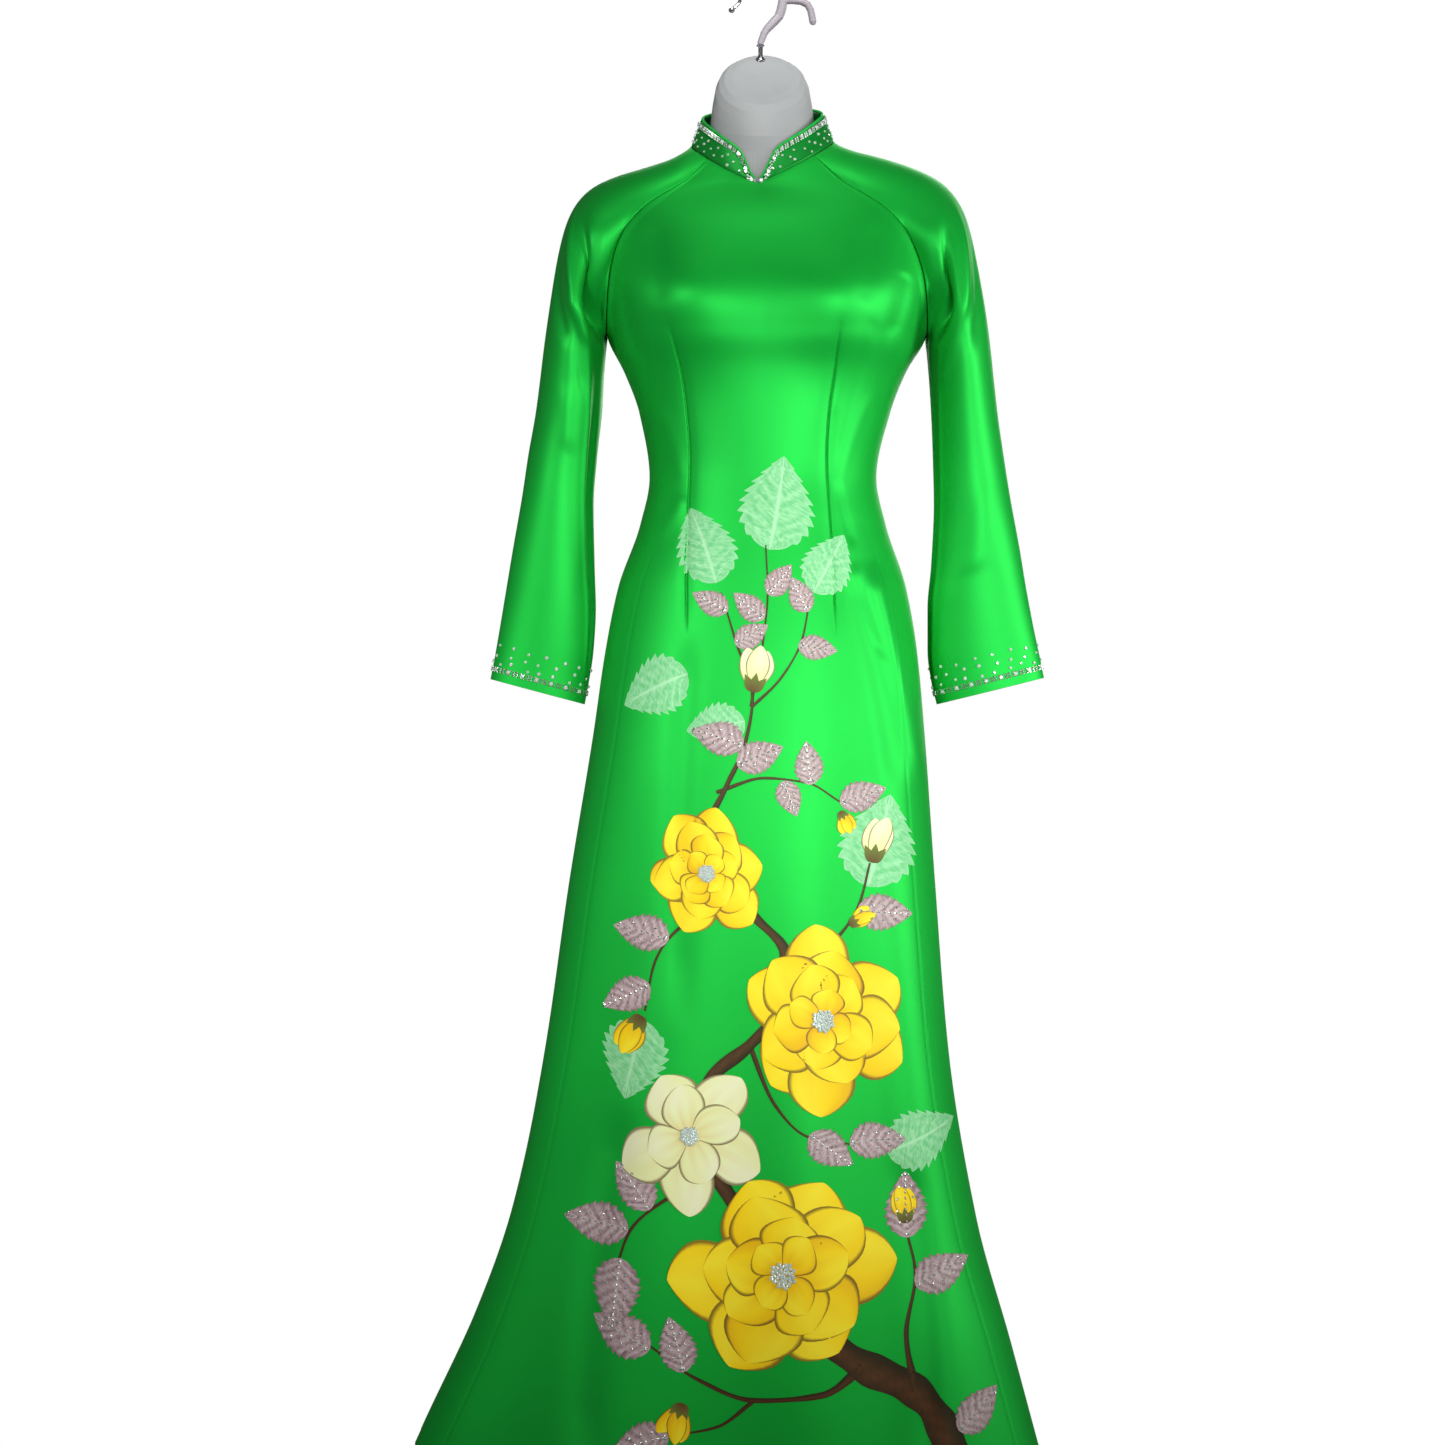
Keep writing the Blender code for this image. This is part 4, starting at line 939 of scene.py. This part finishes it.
def front_point(x, drop, lift):
    """A place on the front panel, this far out from the cloth."""
    def surface(x, drop):
        out = torso_depth(FRONT, x, drop) + fold_height(FRONT_FOLDS, x, drop)
        out = out + relief(FRONT_RELIEF, x, drop) + dart_grooves(FRONT, x, drop)
        share = np.clip(np.abs(x) / torso_width(x, drop), 0, 1) ** (torso("square", drop) / 2)
        u = np.arcsin(share) * 2 / math.pi
        return place(x, FRONT * out, drop + hem_lift(x, u, drop))

    step = 0.0008
    across = surface(x + step, drop) - surface(x - step, drop)
    down = surface(x, drop + step) - surface(x, drop - step)
    normal = unit(np.cross(down, across))
    return surface(x, drop) + normal * np.asarray(lift)[..., None], normal


class Drawing:
    """Gathers flat shapes with a colour for each point."""

    def __init__(self):
        self.points = []
        self.colours = []
        self.faces = []
        self.beads = []
        self.count = 0
        self.layer = 0

    def patch(self, x, drop, colours):
        """A grid shape on this layer, a little above the layer below it."""
        rows, columns = x.shape
        points, _ = front_point(x, drop, np.full(x.shape, PRINT_LIFT + self.layer * PRINT_LAYER))
        self.points.append(points.reshape(-1, 3))
        self.colours.append(np.clip(colours.reshape(-1, 3), 0, 1))
        self.faces.append(grid_quads(rows, columns, 1) + self.count)
        self.count += rows * columns


def turned(x0, drop0, turn, ahead, across):
    """Places from a shape's own frame: turn 0 points to +X and 90 up."""
    a = math.radians(turn)
    x = x0 + ahead * math.cos(a) - across * math.sin(a)
    return x, drop0 - (ahead * math.sin(a) + across * math.cos(a))


def blend(a, b, t):
    a = np.asarray(a, dtype=float)
    return a + (np.asarray(b, dtype=float) - a) * np.clip(t, 0, 1)[..., None]


def draw_petal(art, x0, drop0, turn, length, half_width, kind, seed):
    """A broad, pointed petal with a warm base, fine streaks and a thin dark outline."""
    rng = np.random.default_rng(seed)
    s = np.concatenate([np.linspace(0, 0.9, 15), [0.94, 0.97, 0.99, 1.0]])[:, None]
    v = np.concatenate([[-1, -0.95], np.linspace(-0.85, 0.85, 11), [0.95, 1]])[None, :]
    yellow = kind == "yellow"
    shape = 3.48 * s**1.1 * (1 - s) ** 0.75
    wave = 1 + 0.06 * np.sin(7 * s + rng.uniform(0, 6))
    bend = rng.uniform(-0.16, 0.16) * length
    across = v * half_width * shape * wave + bend * s**2
    x, drop = turned(x0, drop0, turn, s * length + 0 * v, across)
    shaded = rng.uniform(-0.7, 0.7)
    warm = 1.15 * np.exp(-s / (0.28 if yellow else 0.14)) * (0.9 - 0.4 * np.abs(v))
    if yellow:
        warm = warm + 0.38 * smoothstep((np.abs(v - shaded) - 0.9) / 0.7) + 0.12 * bell(v, 0.10) * (1 - s)
    colours = blend(YELLOW if yellow else CREAM, AMBER, warm)
    light = smoothstep((s - 0.30) / 0.5) * (0.85 - 0.8 * np.abs(v - shaded))
    colours = blend(colours, PALE_YELLOW if yellow else PALE_CREAM, light)
    streak = 0.12 * np.sin(v * 26 + rng.uniform(0, 6)) * smoothstep((0.9 - s) / 0.6)
    colours = blend(colours, AMBER, streak + 0.05)
    line = smoothstep((np.abs(v) - 0.86) / 0.07) + 0 * s
    art.patch(x, drop, blend(colours, DARK_LINE, 0.8 * line))


def draw_flower(art, x0, drop0, radius, turn, kind, seed):
    """Rings of petals, each over the one before, round a heart of stones."""
    for n, (count, reach, width, start) in enumerate(YELLOW_RINGS if kind == "yellow" else CREAM_RINGS):
        for k in np.random.default_rng(seed + n).permutation(count):
            art.layer += 1
            angle = turn + start + 360.0 * k / count + 7 * math.sin(k * 2.7 + n)
            length = radius * reach * (1 + 0.10 * math.sin(k * 1.9 + seed))
            draw_petal(art, x0, drop0, angle, length, radius * width, kind, seed * 97 + n * 13 + int(k))
    art.layer += 1
    for k in range(HEART_STONES):
        angle = math.radians(k * GOLDEN_TURN)
        reach = radius * HEART_RADIUS * math.sqrt(k / HEART_STONES)
        place_at = (x0 + reach * math.cos(angle), drop0 + reach * math.sin(angle))
        art.beads.append((*place_at, HEART_STONE_SIZE, "stone", 0.0, art.layer))


def leaf_outline(share):
    """The half width of a leaf at a share of its length, next to its widest."""
    return np.sin(math.pi * share**0.72) ** 0.85


def draw_leaf(art, x0, drop0, turn, length, half_width, dark, light, seed, beaded):
    """A toothed leaf with a mid vein and side veins."""
    rng = np.random.default_rng(seed)
    teeth_at = np.arange(1, LEAF_TEETH) / LEAF_TEETH - 0.004
    s = np.unique(np.concatenate([np.linspace(0, 1, 46), teeth_at]))[:, None]
    inner = np.linspace(0.08, 0.8, 8)
    v = np.concatenate([[-1, -0.93], -inner[::-1], [-0.03, 0.03], inner, [0.93, 1]])[None, :]
    teeth = 1 + 0.20 * (0.5 - (s * LEAF_TEETH) % 1.0) * smoothstep((0.97 - s) / 0.1)
    across = v * half_width * leaf_outline(s) * teeth
    curve = rng.uniform(-0.12, 0.12) * length
    x, drop = turned(x0, drop0, turn, s * length, across + curve * s**2)
    speckle = rng.standard_normal(x.shape)
    shade = 0.5 + 0.25 * np.sin(s * 40 - np.abs(v) * 9) + (0.16 if beaded else 0.34) * speckle
    colours = blend(dark, light, shade * (1 - 0.3 * np.abs(v)))
    vein = bell(v, 0.05) + 0 * s
    side = bell((s * LEAF_TEETH - np.abs(v) * 2.2) % 1.0 - 0.5, 0.10) * (np.abs(v) < 0.9)
    colours = blend(colours, MAUVE_VEIN if beaded else PALE_VEIN, np.maximum(vein, 0.45 * side))
    edge = smoothstep((np.abs(v) - 0.88) / 0.1) + 0 * s
    art.layer += 1
    art.patch(x, drop, blend(colours, dark if beaded else light, 0.7 * edge))
    if not beaded:
        return
    for k in range(int(length / LEAF_BEAD_STEP)):
        share = (k + 0.7) / (length / LEAF_BEAD_STEP)
        for sign in (-1, 0, 1):
            if sign != 0 and k % 2 == 1:
                continue
            reach = min(1, max(0, share - 0.06 * abs(sign)))
            across = 0.42 * sign * half_width * leaf_outline(reach) + curve * share**2
            place_at = turned(x0, drop0, turn, share * length, across)
            art.beads.append((*place_at, LEAF_BEAD_SIZE, "bead", turn - sign * 38.0, art.layer))


def draw_branch(art, route):
    """A branch of changing width, dark at its edges and lighter along the middle."""
    route = np.array(route)
    knots = np.arange(len(route))
    at = np.linspace(0, len(route) - 1, len(route) * 9)
    x, drop, width = (along(knots, route[:, k], at) for k in range(3))
    knob = 1 + 0.16 * np.sin(at * 5.1) * np.sin(at * 2.3 + 1)
    dx, dd = np.gradient(x), np.gradient(drop)
    length = np.hypot(dx, dd)
    v = np.linspace(-1, 1, 7)[None, :]
    half = v * (width * knob / 2 / length)[:, None]
    grain = 0.5 + 0.5 * np.sin(at[:, None] * 17 + v * 5)
    middle = (1 - np.abs(v + 0.2)) * (0.55 + 0.45 * grain)
    art.layer += 1
    colours = blend(BARK, BARK_LIGHT, middle)
    art.patch(x[:, None] - half * dd[:, None], drop[:, None] + half * dx[:, None], colours)


def draw_bud(art, x0, drop0, length, turn, kind, seed):
    """Three closed petals in three sepals."""
    for offset, share in BUD_PETALS:
        art.layer += 1
        draw_petal(art, x0, drop0, turn + offset, length * share, length * 0.24, kind, seed + offset)
    s = np.linspace(0, 1, 7)[:, None]
    v = np.linspace(-1, 1, 5)[None, :]
    across = v * length * 0.10 * np.sin(math.pi * s**0.7)
    for offset in SEPAL_TURNS:
        art.layer += 1
        x, drop = turned(x0, drop0, turn + offset, s * length * 0.42, across)
        art.patch(x, drop, blend(BARK_LIGHT, SEPAL, s + 0 * v))


def make_print(material, stone, bead, stone_material, bead_material):
    """The design, its stones and its beads, each as one mesh."""
    art = Drawing()
    for n, (x, drop, length, half_width, turn) in enumerate(PALE_LEAVES):
        art.layer = n % 2
        draw_leaf(art, x, drop, turn, length, half_width, PALE_LEAF, PALE_LEAF_LIGHT, 40 + n, False)
    for n, route in enumerate(BRANCHES[::-1]):
        art.layer = BRANCH_LAYERS[0] + n % BRANCH_LAYERS[1]
        draw_branch(art, route)
    for n, (x, drop, length, half_width, turn) in enumerate(MAUVE_LEAVES):
        art.layer = MAUVE_LAYERS[0] + n % MAUVE_LAYERS[1]
        draw_leaf(art, x, drop, turn, length, half_width, MAUVE_DARK, MAUVE, 80 + n, True)
    for n, bud in enumerate(BUDS):
        art.layer = BUD_LAYER
        draw_bud(art, *bud, 300 + n * 40)
    for n, flower in enumerate(FLOWERS):
        art.layer = FLOWER_LAYER
        draw_flower(art, *flower, 5 + n)
    points, faces, colours = map(np.concatenate, (art.points, art.faces, art.colours))
    design = make_mesh("flower_design", points, faces, material, colours)
    sets = {"stone": [], "bead": []}
    for x, drop, size, kind, turn, layer in art.beads:
        if kind == "bead" and any(math.hypot(x - f[0], drop - f[1]) < 0.9 * f[2] for f in FLOWERS):
            continue
        lift = np.array(PRINT_LIFT + layer * PRINT_LAYER)
        point, normal = front_point(np.array(x), np.array(drop), lift)
        way = np.array([math.cos(math.radians(turn)), 0.0, math.sin(math.radians(turn))])
        long_way = size * (LEAF_BEAD_LENGTH if kind == "bead" else 1.0)
        sets[kind].append((point + normal * size * SUNK_SHARE, normal, way, (long_way, size, size)))
    stones = scatter("flower_stones", sets["stone"], stone_material, stone)
    beads = scatter("leaf_beads", sets["bead"], bead_material, bead)
    return design, stones, beads


# The trimming: blocks of beads in a line, and rows of stones, with sizes in metres.
BLOCK_ROWS = (-0.0021, 0.0, 0.0021)
BEAD_HEIGHT = 0.0020
BEAD_LIFT = 0.0008
BLOCK_STONE = (0.0046, 0.0046, 0.0040)
BLOCK_STONE_LIFT = 0.0012
COLLAR_BLOCK_STEP = 0.0062
COLLAR_BLOCK_DROP = 0.0064
COLLAR_BLOCK_ANGLES = (3.0, 357.2)
COLLAR_RADIUS = 0.072
# Rows of stones on the collar, as shares of its height, and the angles between them.
COLLAR_STONE_ROWS = (0.54, 0.36, 0.18)
COLLAR_STONE_ANGLES = (7, 353, 12.5)
COLLAR_STONES = 28
COLLAR_STONE_LIFT = 0.0007
SMALL_STONE = 0.0027
LARGE_STONE = 0.0035
BARE_ANGLE = 16
CUFF_BLOCK_STEP = 0.0080
CUFF_BLOCK_HEIGHT = 0.0122
CUFF_BLOCK_HALF_WIDTH = 0.0018
CUFF_STONE_ROWS = (0.0200, 0.0285, 0.0375)
CUFF_STONE_STEP = 0.0150
CUFF_STONE_SIZES = (0.0032, 0.0036, 0.0042)
CUFF_STONE_LIFT = 0.14
# The collar's points: degrees and points next to the gap, and then the angles of all the rest.
COLLAR_NEAR = (30, 60)
COLLAR_REST = (32.5, 327.5, 260)
COLLAR_PUFF = 0.0005
COLLAR_TUCK = 0.0010
PIPING_OVAL = 1.25


def make_collar(satin, edge_satin):
    """The collar band, a little puffed, and the bound edge along its top."""
    near = COLLAR_GAP_ANGLE + COLLAR_NEAR[0] * np.linspace(0, 1, COLLAR_NEAR[1])
    angles = np.concatenate([near, np.linspace(*COLLAR_REST), 360 - near[::-1]])
    way = np.gradient(collar_point(angles, collar_height(angles)), axis=0)
    steepness = np.linalg.norm(way, axis=1) / np.hypot(way[:, 0], way[:, 1])
    top = collar_height(angles) - (2 * PIPING_RADIUS + SEAM_GAP) * steepness - SEAM_GAP
    shares = np.concatenate([np.linspace(1, 0.08, 14), [0.05, 0.025, 0.0]])
    grid = Grid(np.array([collar_point(angles, SEAM_GAP + (top - SEAM_GAP) * share) for share in shares]), 1)
    flat = grid.normals.copy()
    flat[..., 2] = 0
    flat = unit(flat)
    puff = COLLAR_PUFF * np.sin(np.radians(angles) * 9)[None, :] * np.sin(math.pi * shares)[:, None]
    tuck = COLLAR_TUCK * bell(shares, 0.05)[:, None]
    outer = grid.points + flat * (puff - tuck)[..., None]
    points = np.concatenate([outer, outer - flat * COLLAR_WALL]).reshape(-1, 3)
    count = len(points) // 2
    quads = grid.quads.tolist()
    faces = quads + (grid.quads[:, TURNED_OVER] + count).tolist() + rim_faces(quads, count)
    collar = make_mesh("collar_cloth", points, faces, satin)

    edge = collar_point(angles, collar_height(angles) - PIPING_RADIUS * steepness) - flat[0] * COLLAR_WALL / 2
    turns = np.arange(12) * math.pi / 6
    way = unit(np.gradient(edge, axis=0))
    up = unit(np.array([0.0, 0.0, 1.0]) - way * way[:, 2:])
    side = np.cross(way, up)
    radius = PIPING_RADIUS * (1 + 0.04 * np.sin(angles * 1.7))[:, None, None]
    ring = up[:, None] * (PIPING_OVAL * np.sin(turns))[:, None] + side[:, None] * np.cos(turns)[:, None]
    tube = edge[:, None] + ring * radius
    rows, columns = tube.shape[:2]
    around = np.arange(columns)
    here = (np.arange(rows - 1)[:, None] * columns + around).ravel()
    beside = (np.arange(rows - 1)[:, None] * columns + np.roll(around, -1)).ravel()
    faces = np.stack([here, beside, beside + columns, here + columns], axis=1).tolist()
    faces += [around[::-1].tolist(), ((rows - 1) * columns + around).tolist()]
    piping = make_mesh("collar_bound_edge", tube.reshape(-1, 3), faces, edge_satin)
    return collar, piping


def collar_places(angle, share, lift):
    """A place on the collar's outer face, share of the way up from the neckline."""
    height = collar_height(angle)
    point = collar_point(angle, height * share)
    ahead = collar_point(angle + 0.5, collar_height(angle + 0.5) * share)
    way = unit(ahead - point)
    up = collar_point(angle, height * share + 0.001) - point
    normal = unit(np.cross(way, up))
    return point + normal * lift, normal, way


def cluster(stones, beads, n, place_at, half_width=0.0013):
    """A small block of beads, with a stone in every other one; place_at takes (along, up)."""
    for along_way in (-half_width, half_width):
        for up in BLOCK_ROWS:
            if up == 0.0 and n % 2 == 0:
                continue
            point, normal, way = place_at(along_way, up)
            size = (1.9 * half_width, BLOCK_ROWS[2], BEAD_HEIGHT)
            beads.append((point + normal * BEAD_LIFT, normal, way, size))
    if n % 2 == 0:
        point, normal, way = place_at(0.0, 0.0)
        stones.append((point + normal * BLOCK_STONE_LIFT, normal, way, BLOCK_STONE))


def collar_beads():
    """Blocks of beads under the bound edge, with small stones scattered below them."""
    rng = np.random.default_rng(7)
    stones, beads = [], []
    n = 0
    angle, last = COLLAR_BLOCK_ANGLES
    while angle < last:
        from_front = np.array(min(angle, 360 - angle))
        height = float(collar_height(np.array(angle)))
        rise = collar_height(from_front + 0.5) - collar_height(from_front - 0.5)
        slope = float(rise) / (NECK_HALF_WIDTH * math.radians(1))
        steep = math.hypot(1.0, slope)
        per_metre = math.degrees(1 / (COLLAR_RADIUS * math.hypot(1.0, slope + 0.3)))

        def place_at(along_way, up, angle=angle, height=height, steep=steep, per_metre=per_metre):
            share = 1 - (COLLAR_BLOCK_DROP - up) * steep / height
            return collar_places(np.array(angle + along_way * per_metre), max(share, 0.05), 0.0)

        cluster(stones, beads, n, place_at)
        n += 1
        angle += COLLAR_BLOCK_STEP * per_metre
    first, last, step = COLLAR_STONE_ANGLES
    for row, share in enumerate(COLLAR_STONE_ROWS):
        for k in range(COLLAR_STONES):
            angle = first + (k + 0.5 * (row % 2)) * step + rng.uniform(-2.0, 2.0)
            if angle > last or (row == 0 and min(angle, 360 - angle) < BARE_ANGLE):
                continue
            place_at = collar_places(np.array(angle), share + rng.uniform(-0.04, 0.04), COLLAR_STONE_LIFT)
            size = SMALL_STONE if (k + row) % 4 else LARGE_STONE
            stones.append((*place_at, (size,) * 3))
    return stones, beads


def cuff_beads(grid, side):
    """Blocks of beads above the cuff's edge and three rows of stones, thinning upwards."""
    rng = np.random.default_rng(21 + side)
    stones, beads = [], []
    tail = grid.points[grid.welded_from:]
    tail_normals = grid.normals[grid.welded_from:]
    from_edge = np.zeros(tail.shape[:2])
    steps = np.linalg.norm(np.diff(tail, axis=0), axis=2)
    from_edge[:-1] = np.cumsum(steps[::-1], axis=0)[::-1]
    run = np.linalg.norm(np.diff(tail[-1], axis=0, prepend=tail[-1, :1]), axis=1).cumsum()
    girth = run[-1]

    def at(distance, height):
        distance = distance % girth
        column = min(int(np.searchsorted(run, distance, side="right")) - 1, len(run) - 2)
        part = (distance - run[column]) / (run[column + 1] - run[column])
        found = []
        for here in (column, column + 1):
            row = int(np.searchsorted(-from_edge[:, here], -height)) - 1
            low, high = from_edge[row + 1, here], from_edge[row, here]
            share = (height - low) / (high - low)
            for values in (tail, tail_normals):
                found.append(values[row + 1, here] + (values[row, here] - values[row + 1, here]) * share)
        point = found[0] + (found[2] - found[0]) * part
        normal = found[1] + (found[3] - found[1]) * part
        way = found[2] - found[0]
        return point, unit(normal), unit(way)

    count = int(girth / CUFF_BLOCK_STEP)
    for n in range(count):
        def place_at(along_way, up, n=n):
            return at(n * girth / count + along_way, CUFF_BLOCK_HEIGHT + up)

        cluster(stones, beads, n, place_at, CUFF_BLOCK_HALF_WIDTH)
    for row, height in enumerate(CUFF_STONE_ROWS):
        number = int(girth / (CUFF_STONE_STEP + 0.002 * row))
        for k in range(number):
            distance = (k + 0.5 * (row % 2) + rng.uniform(-0.18, 0.18)) * girth / number
            point, normal, way = at(distance, height + rng.uniform(-0.002, 0.002))
            size = rng.choice(CUFF_STONE_SIZES)
            stones.append((point + normal * size * CUFF_STONE_LIFT, normal, way, (size,) * 3))
    return stones, beads


# Each light: name, place, aim, size, power in watts and spread in degrees.
LIGHTS = (
    ("key", (0.90, -2.9, -0.74), (0.0, 0.0, -0.76), (0.9, 0.7), 3.3, 40),
    ("left_fill", (-1.8, -2.4, -0.15), (-0.20, 0.0, -0.85), (0.8, 0.8), 2.3, 36),
    ("right_fill", (2.7, -1.3, -0.5), (0.0, 0.0, -0.52), (1.0, 1.5), 7.0, 56),
    ("top_light", (0.0, -0.7, 1.5), (0.0, 0.0, -0.15), (0.9, 0.7), 2.9, 180),
    ("cap_light", (-0.05, -0.55, 0.40), (0.0, -0.02, -0.05), (0.2, 0.2), 0.37, 36),
    ("back_light", (0.6, 3.0, 0.4), (0.0, 0.0, -0.8), (2.2, 2.6), 60, 180),
)


def area_light(name, place_at, aim, size, power, spread):
    light = bpy.data.lights.new(name, "AREA")
    light.shape = "RECTANGLE"
    light.size, light.size_y = size
    light.energy = power
    light.spread = math.radians(spread)
    obj = bpy.data.objects.new(name, light)
    obj.location = place_at
    way = np.array(aim) - np.array(place_at)
    obj.rotation_euler = mathutils.Vector(way).to_track_quat("-Z", "Y").to_euler()
    bpy.context.scene.collection.objects.link(obj)


def set_studio():
    scene = bpy.context.scene
    scene.view_settings.view_transform = "Standard"
    world = bpy.data.worlds.new("studio")
    scene.world = world
    world.use_nodes = True
    tree = world.node_tree
    background = tree.nodes["Background"]
    set_values(background, {"Color": (1, 1, 1, 1), "Strength": WORLD_LIGHT})
    white = add_node(tree, "Background", {"Color": (1, 1, 1, 1), "Strength": 1.0})
    path = add_node(tree, "LightPath", {})
    mix = add_node(tree, "MixShader", {})
    tree.links.new(path.outputs["Is Camera Ray"], mix.inputs["Fac"])
    tree.links.new(background.outputs["Background"], mix.inputs[1])
    tree.links.new(white.outputs["Background"], mix.inputs[2])
    tree.links.new(mix.outputs["Shader"], tree.nodes["World Output"].inputs["Surface"])
    for light in LIGHTS:
        area_light(*light)

    camera = bpy.data.cameras.new("camera")
    camera.sensor_width = SENSOR_WIDTH
    camera.lens = SENSOR_WIDTH * CAMERA_DISTANCE / PICTURE_WIDTH
    obj = bpy.data.objects.new("camera", camera)
    obj.location = (CAMERA_X, -CAMERA_DISTANCE, CAMERA_Z)
    obj.rotation_euler = (math.radians(90), 0, 0)
    scene.collection.objects.link(obj)
    scene.camera = obj


def main():
    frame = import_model()
    satin = satin_material("green_satin", SATIN_GREEN)
    edge_satin = satin_material("light_satin", EDGE_GREEN)
    # The collar's satin takes the darker collar green, which is painted shade on the upward-facing band.
    shaded_collar_satin = satin_material("shaded_collar_satin", SHADED_COLLAR_GREEN)
    paint = satin_material("printed_satin", None, metallic=0.0)
    stone_material = crystal_material("cut_stone")
    bead_material = metal_material("silver_bead", (0.70, 0.78, 0.72), 0.34)
    stone, bead = faceted_stone(), round_bead()

    front = shell_object("front_cloth", fine_panel(FRONT, *FRONT_FINENESS), satin, hem_rows=6, side_columns=9)
    back = shell_object("back_cloth", fine_panel(BACK, *BACK_FINENESS), satin, hem_rows=6, side_columns=7)
    sides = {"sleeve_right": RIGHT, "sleeve_left": LEFT}
    grids = {name: fine_sleeve(side, *SLEEVE_FINENESS) for name, side in sides.items()}
    sleeves = {name: shell_object(name + "_cloth", grid, satin, hem_rows=22) for name, grid in grids.items()}
    collar, piping = make_collar(shaded_collar_satin, edge_satin)

    stones, beads = collar_beads()
    collar_stones = scatter("collar_stones", stones, stone_material, stone)
    collar_seed = scatter("collar_beads", beads, bead_material, bead)
    trims = {}
    for name, side in sides.items():
        stones, beads = cuff_beads(grids[name], side)
        trims[name] = (
            scatter(name + "_stones", stones, stone_material, stone),
            scatter(name + "_beads", beads, bead_material, bead),
        )
    design, flower_stones, leaf_beads = make_print(paint, stone, bead, stone_material, bead_material)

    pieces = {"front": front, "back": back, "collar": collar, "collar_piping": piping}
    pieces.update(sleeves)
    for node, obj in pieces.items():
        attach(obj, "root")
        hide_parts(node)
    extras = [collar_stones, collar_seed, design, flower_stones, leaf_beads]
    extras += [obj for pair in trims.values() for obj in pair]
    for obj in extras:
        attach(obj, "root")

    form = plastic_material("form_plastic", (0.28, 0.29, 0.29), 0.55, 0.10)
    hook = plastic_material("hook_plastic", (0.30, 0.27, 0.30), 0.38, 0.06)
    metal = metal_material("bright_metal", (0.50, 0.50, 0.52), 0.16)
    solids = {"torso_form": form, "hook": hook, "hook_ferrule": metal, "hook_tip": metal}
    for name, material in solids.items():
        obj = frame["nodes"][name]
        obj.data.materials.clear()
        obj.data.materials.append(material)
    set_studio()


main()
